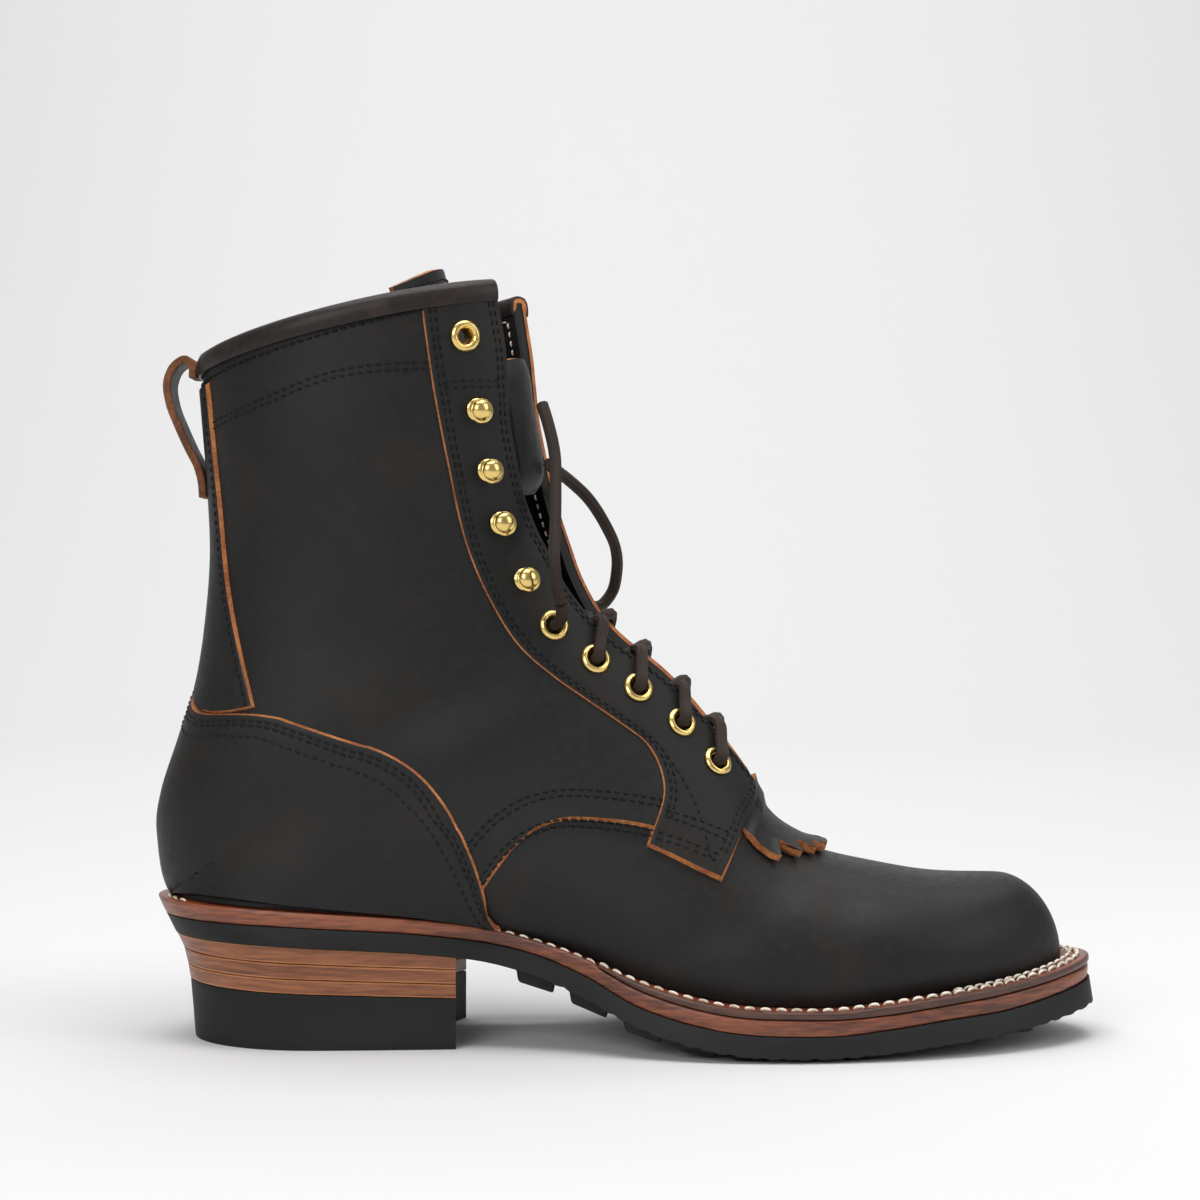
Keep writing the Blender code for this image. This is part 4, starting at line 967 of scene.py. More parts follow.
@dataclass(frozen=True)
class Braid:
    """Waxed braided lace: fine crossing strands round the cord, matt between waxy ridges, with painted shade
    darkening its colour in the gaps between them.
    """

    name: str = "waxed_braid"
    colour: str = "#3b2e26"
    shade: str = "#1a1410"
    slant: float = 0.7

    def build(self) -> bpy.types.Material:
        """Makes the material. Its strands follow the cord's own map, which has u round it and v along it."""
        made, tree, shader, _ = new_material(self.name)
        place = add_node(tree, "ShaderNodeTexCoord", {}).outputs["UV"]
        sets = []
        for slant in (self.slant, -self.slant):
            way = add_node(tree, "ShaderNodeMapping", {"Vector": place, "Rotation": (0, 0, slant)}).outputs[0]
            bands = {"Vector": way, "Scale": 1.6, "Distortion": 0.4}
            sets.append(add_node(tree, "ShaderNodeTexWave", bands, wave_profile="SIN").outputs["Fac"])
        weave = add_node(tree, "ShaderNodeMath", {0: sets[0], 1: sets[1]}, operation="MAXIMUM").outputs[0]
        # Painted shade: where the crossing strands dip, the colour runs down to the shade colour.
        stops = ((0.25, self.shade), (0.95, self.colour))
        colour = add_node(tree, "ShaderNodeValToRGB", {"Fac": weave}, stops).outputs[0]
        set_inputs(tree, shader, {"Base Color": colour, "Roughness": 0.56, "Specular IOR Level": 0.3})
        set_inputs(tree, shader, {"Normal": bump(tree, weave, 0.2, 0.6)})
        return made


class Finish(Enum):
    """The finishes of the boot."""

    BLACK = Leather("oiled_black_leather", "#1a1a1a", "#27211c", "#2a2827")
    BINDING = Leather("rolled_binding_leather", "#231d1b", "#3a2d27", "#3d332d", patch_mm=18, roughness=0.4)
    LINING = Leather("brown_lining_leather", "#5b3c28", "#6b4830", "#7a5538", roughness=0.7)
    FACING = Leather("black_facing_leather", "#151414", "#1c1a19", "#262423", roughness=0.45)
    INSOLE = Leather("natural_insole_leather", "#a97a4e", "#b98a5d", "#8f633d", roughness=0.62)
    RAW = CutEdge("raw_tan_edge", "#c07a45", "#8a4c26")
    FLESH = CutEdge("brown_flesh_side", "#84512f", "#5c351f", fibre_mm=1.3)
    SOLE_EDGE = CutEdge("waxed_sole_edge", "#8f4e30", "#512716", 0.9, (9.0, 9.0, 1.0), 0.5, 0.25)
    LIFT_EDGE = CutEdge("waxed_lift_edge", "#9a5c35", "#633319", 1.0, (12.0, 12.0, 1.0), 0.5, 0.25)
    LIFT_JOINT = CutEdge("pale_lift_joint", "#bb7f50", "#96582f", 1.2, (9.0, 9.0, 1.0), 0.6, 0.1)
    WELT_TOP = CutEdge("red_welt_top", "#8f4725", "#67301a", 1.6, (4.0, 4.0, 1.0), 0.45, 0.3)
    WELT_EDGE = CutEdge("dark_welt_edge", "#5d3729", "#3c221a", 1.2, (7.0, 7.0, 1.0), 0.5, 0.25)
    RUBBER = Rubber()
    BRASS = Brass()
    BLACK_THREAD = Thread("bonded_black_thread", "#121111", "#070606", roughness=0.5)
    WHITE_THREAD = Thread("waxed_white_thread", "#f2ebdd", "#c9bda6")
    LACE = Braid()


_MADE: dict[Finish, bpy.types.Material] = {}


def finish(kind: Finish) -> bpy.types.Material:
    """The material of a finish, made once."""
    if kind not in _MADE:
        _MADE[kind] = kind.value.build()
    return _MADE[kind]


class Shape:
    """Vertices and faces of one piece, gathered before its mesh is made."""

    def __init__(self) -> None:
        """Starts with nothing."""
        self.points: list[Array] = []
        self.faces: list[list[int]] = []
        self.slots: list[int] = []
        self.uvs: list[Array] = []
        self.count = 0

    def add(self, points: Array, uvs: Array | None = None) -> int:
        """Adds points in mm. Returns the number of the first."""
        start = self.count
        points = np.asarray(points, float).reshape(-1, 3)
        self.points.append(points)
        self.uvs.append(np.zeros((len(points), 2)) if uvs is None else uvs.reshape(-1, 2))
        self.count += len(points)
        return start

    def quads(self, index: Array, slot: int, keep: Array | None = None) -> None:
        """Adds faces between the rows and columns of a table of vertex numbers.

        Args:
            index: the table.
            slot: the faces' material.
            keep: which of the faces to make.
        """
        faces = np.stack([index[:-1, :-1], index[:-1, 1:], index[1:, 1:], index[1:, :-1]], axis=-1)
        faces = faces[keep] if keep is not None else faces.reshape(-1, 4)
        self.faces += faces.tolist()
        self.slots += [slot] * len(faces)

    def grid(
        self,
        points: Array,
        slot: int = 0,
        wrap: bool = False,
        keep: Array | None = None,
        uvs: Array | None = None,
    ) -> Array:
        """Adds a surface through rows of points.

        Args:
            points: the rows.
            slot: its material.
            wrap: whether each row's end joins its start.
            keep: which faces to make, where holes are left.
            uvs: each point's place on its map.

        Returns:
            Its table of vertex numbers.
        """
        rows, cols = points.shape[:2]
        index = self.add(points, uvs) + np.arange(rows * cols).reshape(rows, cols)
        self.quads(np.hstack([index, index[:, :1]]) if wrap else index, slot, keep)
        return index

    def cap(self, ring: Array, slot: int = 0) -> None:
        """Adds one face across a ring of vertex numbers."""
        self.faces.append(ring.tolist())
        self.slots.append(slot)

    def caps(self, index: Array, slot: int = 0) -> None:
        """Closes the first and the last ring of a wrapped grid."""
        self.cap(index[0], slot)
        self.cap(index[-1], slot)

    def rim(self, first: Array, second: Array, slot: int) -> None:
        """Adds the wall between two rings of vertex numbers."""
        self.quads(np.stack([np.append(first, first[0]), np.append(second, second[0])]), slot)

    @staticmethod
    def border(index: Array) -> Array:
        """The vertex numbers round a grid's edge, in order."""
        return np.concatenate([index[:-1, 0], index[-1, :-1], index[:0:-1, -1], index[0, :0:-1]])

    def panel(
        self,
        base: Array,
        out: Array,
        top: Array | float,
        foot: float,
        bevel: float,
        slots: tuple = (0, 1, 0),
        keep: Array | None = None,
        dark_far: bool = False,
    ) -> None:
        """Adds a cut piece of leather: its face, its underside and the slanted raw edge between them.

        Args:
            base: rows of points on the surface.
            out: the outward direction at each.
            top: height of the face above the surface.
            foot: height of its underside.
            bevel: how far the underside reaches beyond the face.
            slots: the materials of face, edge and underside.
            keep: which faces to make, where holes are left.
            dark_far: whether the edge along the last column is dyed like the face.
        """
        high = base + out * np.broadcast_to(top, base.shape[:2])[..., None]
        low = base + out * np.broadcast_to(foot, base.shape[:2])[..., None]
        reach = np.zeros_like(low)
        reach[0] += unit(base[0] - base[2])
        reach[-1] += unit(base[-1] - base[-3])
        reach[:, 0] += unit(base[:, 0] - base[:, 1])
        reach[:, -1] += unit(base[:, -1] - base[:, -2])
        low = low + reach * bevel
        upper, lower = self.grid(high, slots[0], keep=keep), self.grid(low, slots[2], keep=keep)
        first, second = self.border(upper), self.border(lower)
        walls = np.stack([np.append(first, first[0]), np.append(second, second[0])])
        rows, cols = base.shape[:2]
        start, stop = rows + cols - 2, 2 * rows + cols - 3
        self.quads(walls[:, : start + 1], slots[1])
        self.quads(walls[:, start : stop + 1], slots[0] if dark_far else slots[1])
        self.quads(walls[:, stop:], slots[1])

    def tube(self, path: Array, radius: float, sides: int, ridges: int) -> None:
        """Adds a cord along a path, its ends closed.

        Args:
            path: the points of its middle line.
            radius: its radius.
            sides: how many sides its section has.
            ridges: how many low ridges stand along it.
        """
        along = unit(np.gradient(path, axis=0))
        first = np.empty_like(path)
        lead = np.cross(along[0], (0.3, 1.0, 0.2))
        for i, way in enumerate(along):
            lead = lead - way * lead.dot(way)
            lead = lead / np.linalg.norm(lead)
            first[i] = lead
        second = np.cross(along, first)
        angle = np.linspace(0, 2 * math.pi, sides, endpoint=False)
        reach = radius * (1 + RIDGE_SHARE * np.cos(ridges * angle))
        rings = path[:, None] + first[:, None] * (np.cos(angle) * reach)[:, None]
        rings = rings + second[:, None] * (np.sin(angle) * reach)[:, None]
        steps = arc_lengths(path)
        uvs = np.stack(np.broadcast_arrays(angle / (2 * math.pi) * 12, steps[:, None]), axis=-1)
        self.caps(self.grid(rings, wrap=True, uvs=uvs))

    def stitches(self, line: Array, out: Array, pitch: float, share: float, radius: float) -> int:
        """Adds raised stitches along a line, each a short bowed thread whose ends dive in.

        Args:
            line: the points of the line.
            out: the outward direction at each.
            pitch: the distance from stitch to stitch.
            share: the share of it that a stitch fills.
            radius: the thread's radius.

        Returns:
            How many there are.
        """
        steps = arc_lengths(line)
        count = max(int(round(steps[-1] / pitch)), 1)
        at = (np.arange(count) + 0.5) * steps[-1] / count
        behind, ahead = (along_line(line, steps, at + off) for off in (-0.4, 0.4))
        centre = (behind + ahead) / 2
        way = unit(ahead - behind)
        up = unit(along_line(out, steps, at))
        across = np.cross(way, up)
        way = unit(way + across * STITCH_SLANT)
        reach, height, size = np.array(STITCH_FORM).T
        reach, height, size = reach * pitch * share / 2, height * radius, size * radius
        rings, sides = len(STITCH_FORM), 6
        angle = np.linspace(0, 2 * math.pi, sides, endpoint=False)
        middle = centre[:, None] + way[:, None] * reach[:, None] + up[:, None] * height[:, None]
        ring = middle[:, :, None]
        ring = ring + across[:, None, None] * (np.cos(angle) * size[:, None])[..., None]
        ring = ring + up[:, None, None] * (np.sin(angle) * size[:, None])[..., None]
        start = self.add(ring)
        index = start + np.arange(count * rings * sides).reshape(count, rings, sides)
        index = np.concatenate([index, index[:, :, :1]], axis=2)
        faces = np.stack([index[:, :-1, :-1], index[:, :-1, 1:], index[:, 1:, 1:], index[:, 1:, :-1]], -1)
        faces = faces.reshape(-1, 4)
        ends = np.concatenate([index[:, 0, :-1], index[:, -1, :-1]])
        self.faces += faces.tolist() + ends.tolist()
        self.slots += [0] * (len(faces) + len(ends))
        return count

    def turned(self, profile: list[tuple], centre: Array, out: Array, segments: int = 36) -> None:
        """Adds a solid turned round an axis.

        Args:
            profile: its (radius, height) points, closed where the first and the last are the same.
            centre: the axis's place at height 0.
            out: the axis's direction.
            segments: how many sides it has.
        """
        first = unit(np.cross(out, (0.0, 0.0, 1.0)))
        second = np.cross(out, first)
        angle = np.linspace(0, 2 * math.pi, segments, endpoint=False)
        closed = profile[0] == profile[-1]
        rings = np.array(profile[:-1] if closed else profile, float)[:, None, None]
        spokes = first * np.cos(angle)[:, None] + second * np.sin(angle)[:, None]
        index = self.grid(centre + out * rings[..., 1] + spokes * rings[..., 0], wrap=True)
        if closed:
            self.rim(index[-1], index[0], 0)
        else:
            self.caps(index)

    def make(self, name: str, looks: list[Finish], sharp: float, weld: float = 0.005) -> bpy.types.Object:
        """Makes the piece.

        Args:
            name: its name.
            looks: its finishes, in the order of the faces' slots.
            sharp: the angle in degrees from which an edge isn't shaded smooth.
            weld: how near points are joined, in mm.

        Returns:
            The object, in the scene.
        """
        data = bpy.data.meshes.new(name)
        data.from_pydata((np.concatenate(self.points) * MM).tolist(), [], self.faces)
        for look in looks:
            data.materials.append(finish(look))
        data.polygons.foreach_set("material_index", self.slots)
        layer = data.uv_layers.new(name="UVMap")
        corners = np.empty(len(data.loops), int)
        data.loops.foreach_get("vertex_index", corners)
        layer.data.foreach_set("uv", np.concatenate(self.uvs)[corners].ravel())
        mesh = bmesh.new()
        mesh.from_mesh(data)
        bmesh.ops.remove_doubles(mesh, verts=mesh.verts, dist=weld * MM)
        bmesh.ops.dissolve_degenerate(mesh, edges=mesh.edges, dist=weld * MM / 2)
        bmesh.ops.recalc_face_normals(mesh, faces=mesh.faces)
        mesh.to_mesh(data)
        mesh.free()
        data.shade_smooth()
        data.set_sharp_from_angle(angle=math.radians(sharp))
        item = bpy.data.objects.new(name, data)
        bpy.context.scene.collection.objects.link(item)
        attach(item, "root")
        LOG.info("%s: %d faces", name, len(data.polygons))
        return item


class Strip:
    """A band of the upper between two edges, with rows across it and closer lines near both edges."""

    def __init__(
        self, start: Array, end: Array, side: Side, near: tuple, middle: int, far: tuple | None = None
    ) -> None:
        """Lays the band out.

        Args:
            start: places (row, turn) along one edge, n of them.
            end: places along the other edge, n of them.
            side: LATERAL or MEDIAL, or one for each row.
            near: distances from the first edge that get a line of their own.
            middle: how many lines lie between.
            far: the same from the other edge, as near where it isn't given.
        """
        far = near if far is None else far
        self.start, self.end = start, end
        self.side = np.broadcast_to(np.asarray(side), len(start))[:, None]
        self.shares = np.linspace(0, 1, 13)
        sample = LAST.plain(*self.across(self.shares[None]), self.side)
        self.table = np.stack([arc_lengths(points) for points in sample])
        self.length = self.table[:, -1]
        lead = np.asarray(near)[None] * np.ones((len(start), 1))
        tail = self.length[:, None] - np.asarray(far)[::-1][None]
        inner = np.linspace(0, 1, middle + 2)[1:-1][None]
        body = lead[:, -1:] + (tail[:, :1] - lead[:, -1:]) * inner
        self.walk = np.concatenate([lead, body, tail], axis=1)
        track = np.stack([np.interp(*pair, self.shares) for pair in zip(self.walk, self.table)])
        self.base, self.out = LAST.skin(*self.across(track), self.side)

    def across(self, track: Array) -> tuple[Array, Array]:
        """The rows and turns at shares of the way across, for each of the band's rows."""
        places = self.start[:, None] * (1 - track[..., None]) + self.end[:, None] * track[..., None]
        return places[..., 0], places[..., 1]

    def edge_drop(self, grooves: tuple, both: bool = True) -> Array:
        """How far the face sinks below its full height.

        Args:
            grooves: the stitch lines' distances from the edge.
            both: whether it sinks at both edges, not the first alone.

        Returns:
            The drop at each point.
        """
        distance = np.minimum(self.walk, self.length[:, None] - self.walk) if both else self.walk
        drop = EDGE_SINK * np.exp(-distance / 0.45)
        for place in grooves:
            drop = drop + STITCH_SINK * np.exp(-(((distance - place) / 0.5) ** 2))
        return drop

    def line(
        self, distance: float, lift: float, rear: bool = False, start: float = 0.0, stop: float = 1.0
    ) -> tuple[Array, Array]:
        """A line along the band.

        Args:
            distance: how far it runs from the first edge.
            lift: its height over the upper.
            rear: whether it keeps its distance from the other edge.
            start: where it begins, as a share of the band's length.
            stop: where it ends.

        Returns:
            Its points and their outward directions.
        """
        count = len(self.start)
        rows = np.arange(int(start * count), max(int(stop * count), int(start * count) + 2))
        rows = rows[rows < count]
        want = self.length - distance if rear else np.full(count, distance)
        track = np.array([np.interp(want[i], self.table[i], self.shares) for i in rows])[:, None]
        places = self.start[rows] * (1 - track) + self.end[rows] * track
        return on_last(places, self.side[rows, 0], lift)


def on_last(places: Array, side: Side, lift: float) -> tuple[Array, Array]:
    """The points at these places and height above the upper, and the outward directions."""
    base, out = LAST.skin(places[:, 0], places[:, 1], side)
    return base + out * lift, out


def side_line(
    points: list[tuple], side: int, lift: float, count: int, low: float = 0.4
) -> tuple[Array, Array]:
    """A line drawn in the side view and laid on the upper.

    Args:
        points: (x, z) points that it runs through.
        side: LATERAL or MEDIAL.
        lift: its height over the upper.
        count: how many points it gets.
        low: the first row that is searched.

    Returns:
        Its points and their outward directions.
    """
    curve = through(np.array(points, float), count)
    return on_last(LAST.locate(curve[:, 0], curve[:, 1], side, low), side, lift)


def word(side: int) -> str:
    """The side's name."""
    return "lateral" if side == LATERAL else "medial"


def fittings(side: int) -> Iterator[tuple[int, str, Array, Array]]:
    """The eyelets and hooks of one flap.

    Args:
        side: LATERAL or MEDIAL.

    Yields:
        The number, kind, centre on the facing's face and outward direction of each.
    """
    for number, (kind, x, z) in enumerate(EYELET_PLACES[1:], 1):
        row, turn = LAST.locate(x, z, LATERAL)[0]
        if side == MEDIAL:
            turn = float(LAST.flap_turn(row, MEDIAL) + turn - LAST.flap_turn(row, LATERAL)) + MEDIAL_SETBACK
        out = LAST.normal(row, turn, side)
        yield number, kind, LAST.plain(row, turn, side) + out * (OVERLAY_GAP + OVERLAY), out


def clear_of_holes(points: Array, side: int) -> Array:
    """Leaves the eyelets' holes out of a grid.

    Args:
        points: the grid's points.
        side: LATERAL or MEDIAL.

    Returns:
        Which of its faces lie clear of the holes.
    """
    middle = (points[:-1, :-1] + points[1:, 1:]) / 2
    keep = np.ones(middle.shape[:2], bool)
    for _, kind, centre, out in fittings(side):
        if kind == "eyelet":
            off = middle - centre
            along = off @ out
            keep &= np.linalg.norm(off - along[..., None] * out, axis=-1) > EYELET_BORE + 1.0
    return keep


@dataclass
class SoleUnit:
    """Welt, leather midsole, rubber outsole and the stacked heel."""

    stitch_pitch: float = 4.9
    stitch_radius: float = 0.52
    stitch_inset: float = 4.0
    lug_pitch: float = 17.0
    notch_pitch: float = 5.2
    notch_depth: float = 0.55
    lug_rows: int = 10
    lug_start: float = 69.0
    lug_centre_gap: float = 1.5
    row_two_inset: float = 3.0
    row_two_start: float = 205.0
    heel_back: float = -48.0

    @staticmethod
    def stations(rear: float, tip: float) -> Array:
        """Places along the foot between an outline's two ends, closer near both."""
        middle = np.arange(-36.0, 229.0, 2.0)
        near = 1 - np.cos(np.linspace(0, math.pi / 2, 26)[:-1])
        start = rear + (middle[0] - rear) * near
        end = tip - (tip - middle[-1]) * near[::-1]
        return np.concatenate([start, middle, end])

    def level(self, rear: float, tip: float, inset: float, height: Callable[[Array], Array]) -> Array:
        """One level of a layer.

        Args:
            rear: where its outline ends at the heel.
            tip: where it ends at the toe.
            inset: how far it lies inside the sole's plan.
            height: its height at places along the foot.

        Returns:
            Rows of its lateral and its medial edge point.
        """
        x = self.stations(rear, tip)
        z = height(x)
        half = [SOLE.half(x, side, rear, tip, inset) for side in (LATERAL, MEDIAL)]
        return np.stack([np.stack([x, -half[0], z], 1), np.stack([x, half[1], z], 1)], axis=1)

    @staticmethod
    def stack(shape: Shape, levels: list[Array], slots: list[int]) -> None:
        """Closes a layer through its levels.

        Args:
            shape: what its faces are added to.
            levels: the levels from the top down.
            slots: the materials of its top, of the wall under each level, and of its underside.
        """
        edges = []
        for i, points in enumerate(levels):
            rows, cols = points.shape[:2]
            table = shape.add(points) + np.arange(rows * cols).reshape(rows, cols)
            if i in (0, len(levels) - 1):
                shape.quads(table, slots[0] if i == 0 else slots[-1])
            edges.append(Shape.border(table))
        for first, second, slot in zip(edges, edges[1:], slots[1:-1]):
            shape.rim(first, second, slot)

    def midsole(self) -> None:
        """The full-length leather layer, its edge trimmed, dyed and waxed, with rounded corners."""
        shape = Shape()
        lean, taper = 2.4, 0.1556

        def at(x: Array, share: float) -> Array:
            """The height at a share of the way from its top to its underside."""
            drop = smooth((x - WELT_START + 1.2) / 1.5)
            top = SOLE.level("seat", x) * (1 - drop) + SOLE.level("welt_bottom", x) * drop
            return top * (1 - share) + SOLE.level("midsole_bottom", x) * share

        levels = []
        edge = ((0.0, 0.75), (0.04, 0.3), (0.13, 0.05), (0.3, 0.0), (0.6, 0.1), (0.88, 0.25), (1.0, 0.55))
        for share, inset in edge:
            rear = SOLE_REAR + lean * share + inset * 0.6
            tip = SOLE_TIP - GAP - inset
            levels.append(self.level(rear, tip, inset + taper * share, partial(at, share=share)))
        self.stack(shape, levels, [1] + [0] * len(levels))
        item = shape.make("midsole_edge", [Finish.SOLE_EDGE, Finish.WELT_TOP], 60)
        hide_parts("midsole")

    def welt_lines(self) -> tuple[Array, Array]:
        """The welt's outer and inner edge at its top, from one joint round the toe to the other."""
        start = WELT_START + GAP
        share = np.sin(np.linspace(0, math.pi / 2, 110))
        outer, inner = [], []
        for side, order in ((LATERAL, share), (MEDIAL, share[::-1][1:])):
            x_out = start + (SOLE_TIP - start) * order
            x_in = start + (FEATHER_TIP - 9 - start) * order
            y_out = side * SOLE.half(x_out, side)
            y_in = side * SOLE.feather(x_in, side, 7.0)
            outer.append(np.stack([x_out, y_out, SOLE.level("seat", x_out)], 1))
            inner.append(np.stack([x_in, y_in, SOLE.level("seat", x_in)], 1))
        return np.concatenate(outer), np.concatenate(inner)

    def welt(self) -> None:
        """The strip that the upper is sewn to, with its white stitches."""
        outer, inner = self.welt_lines()
        thick = (outer[:, 2] - SOLE.level("welt_bottom", outer[:, 0]) - WELT_GAP)[:, None]
        away = unit((outer - inner) * (1, 1, 0))
        edge = ((-0.9, 1), (-0.25, 0.93), (0.0, 0.72), (0.0, 0.3), (-0.35, 0.0))
        drop = np.array((0, 0, 1)) * thick
        shape = Shape()
        rows = [inner] + [outer + away * off - drop * (1 - share) for off, share in edge] + [inner - drop]
        index = [shape.add(r) + np.arange(len(r)) for r in rows]
        for i, pair in enumerate(zip(index, index[1:] + index[:1])):
            shape.quads(np.stack(pair, 1), 0 if i in (0, len(rows) - 1) else 1)
        shape.caps(np.array(index).T, 1)
        item = shape.make("welt_strip", [Finish.WELT_TOP, Finish.WELT_EDGE], 50)
        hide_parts("welt")
        thread = Shape()
        up = np.tile((0.0, 0.0, 1.0), (len(outer), 1))
        line = outer - away * self.stitch_inset + up * 0.12
        count = thread.stitches(line, up, self.stitch_pitch, 0.78, self.stitch_radius)
        toe = outer[:, 0] > self.row_two_start
        inside = (outer - away * (self.stitch_inset + self.row_two_inset) + up * 0.12)[toe]
        count += thread.stitches(inside, up[toe], self.stitch_pitch * 0.8, 0.9, self.stitch_radius * 0.8)
        waist = np.linspace(54, WELT_START, 40)
        heel = SOLE_REAR + 4.4 + 9 * (1 - np.cos(np.linspace(0, math.pi / 2, 40)))
        for x, rear, inset, share, radius in (
            (waist, SOLE_REAR, 1.3, 0.7, 0.4),
            (heel, SOLE_REAR + 3.0, 2.6, 0.78, 0.45),
        ):
            for side in (LATERAL, MEDIAL):
                y = side * SOLE.half(x, side, rear, SOLE_TIP, inset)
                row = np.stack([x, y, SOLE.level("seat", x) + 0.1], 1)
                count += thread.stitches(row, up[: len(x)], self.stitch_pitch, share, radius)
        LOG.info("sole stitches: %d", count)
        thread.make("welt_stitching", [Finish.WHITE_THREAD], 80)

    def outsole(self) -> None:
        """The rubber layer: smooth ground side, notched lower rim and a tread of bevelled lugs."""
        shape = Shape()
        rear, tip = SOLE_REAR + 2.8, SOLE_TIP + 0.2

        def at(x: Array, share: float) -> Array:
            """The height at a share of the way from its top to its notched rim."""
            top = SOLE.level("midsole_bottom", x) - GAP
            saw = np.abs((x / self.notch_pitch) % 1 - 0.5)
            notch = self.notch_depth * smooth(saw * 6 - 1.6) * smooth((x - 62) / 12)
            return top * (1 - share) + (SOLE.level("edge_bottom", x) + notch) * share

        levels = []
        for share, inset in ((0.0, 0.45), (0.05, 0.2), (0.5, -0.4), (0.8, -0.9), (0.96, -1.05), (1.0, -0.8)):
            levels.append(self.level(rear + 3.1 * share, tip + 1.2 * share, inset, partial(at, share=share)))
        levels.append(self.level(rear + 5.6, tip - 1.3, 1.6, SOLE.recess))
        self.stack(shape, levels, [0] * (len(levels) + 1))
        for number in range(self.lug_rows):
            x = self.lug_start + self.lug_pitch * number
            for side in (LATERAL, MEDIAL):
                reach = float(SOLE.half(x, side)) - 4.0
                outer_half = 7.5
                self.lug(shape, x, side * (reach - outer_half), 5.8, outer_half)
                room = reach - 18.0
                if room > 9.0:
                    half = (room - self.lug_centre_gap) / 2
                    self.lug(shape, x + 3.0, side * (self.lug_centre_gap + half), 5.0, half)
        item = shape.make("outsole_rubber", [Finish.RUBBER], 40)
        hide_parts("outsole")

    @staticmethod
    def lug(shape: Shape, x: float, y: float, length: float, width: float) -> None:
        """Adds one tread lug with sloping sides and a rounded foot.

        Args:
            shape: what its faces are added to.
            x: its middle along the foot.
            y: its middle across the foot.
            length: half its length.
            width: half its width.
        """
        quarter = np.array(((1, -0.9), (1, 0.9), (0.9, 1), (-0.9, 1)))
        corners = np.concatenate([quarter, -quarter])
        rings = []
        for share, grow in ((1.0, -0.5), (0.86, -0.05), (0.5, 0.3), (-0.25, 0.9)):
            at = x + corners[:, 0] * (length + grow)
            z = SOLE.lugs(at) * share + SOLE.recess(at) * (1 - share)
            rings.append(np.stack([at, y + corners[:, 1] * (width + grow), z], 1))
        shape.caps(shape.grid(np.array(rings), wrap=True))

    def heel(self) -> None:
        """The leather lifts with their pale joint lines, and the rubber cap, each hollowed at the breast."""
        layers = HEEL_LAYERS[1:]
        across = np.linspace(-1, 1, 25)
        upper_edge = ((0.0, 0.14), (0.02, 0.03), (0.1, 0.0))
        edge = upper_edge + ((0.5, 0.03),) + tuple((1 - share, pull) for share, pull in upper_edge[::-1])

        def joint(x: Array, number: int) -> Array:
            """The height of the joint over a layer, or of the floor."""
            if number == 0:
                return SOLE.level("edge_bottom", x) - GAP
            if number == len(layers):
                return np.zeros_like(x)
            start, stop = layers[number][1:3]
            return start + (stop - start) * (x - self.heel_back) / (BREAST_X - self.heel_back)

        for i, (name, _, _, end_top, end_low) in enumerate(layers):
            grids = []
            for share, pull in edge:
                end = end_top + (end_low - end_top) * share + pull
                x = end + (BREAST_X - pull - end) * (1 - np.cos(np.linspace(0, math.pi / 2, 44)))
                inset = 1.4 + 0.45 * i + 0.4 * share + pull
                corner = np.stack([SOLE.half(x, s, end, SOLE_TIP, inset) for s in (LATERAL, MEDIAL)], 1)
                y = np.where(across[None] < 0, across * corner[:, :1], across * corner[:, 1:])
                ramp = np.clip((x - end) / (BREAST_X - end), 0, None)[:, None] ** 2
                at = x[:, None] - BREAST_HOLLOW * (1 - across**2) * ramp
                low = joint(at, i + 1) + (0 if name == "heel_cap" else GAP)
                grids.append(np.stack([at, y, joint(at, i) * (1 - share) + low * share], axis=-1))
            shape = Shape()
            cap = name == "heel_cap"
            self.stack(shape, grids, [0] * 8 if cap else [1, 1, 1, 0, 0, 1, 1, 1])
            looks = [Finish.RUBBER] if cap else [Finish.LIFT_EDGE, Finish.LIFT_JOINT]
            item = shape.make("heel_cap_rubber" if cap else f"{name}_edge", looks, 45)
            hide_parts(name)

    def build(self) -> None:
        """Builds the whole sole."""
        self.midsole()
        self.welt()
        self.outsole()
        self.heel()
        insole = bpy.data.objects["insole"]
        insole.material_slots[0].material = finish(Finish.INSOLE)


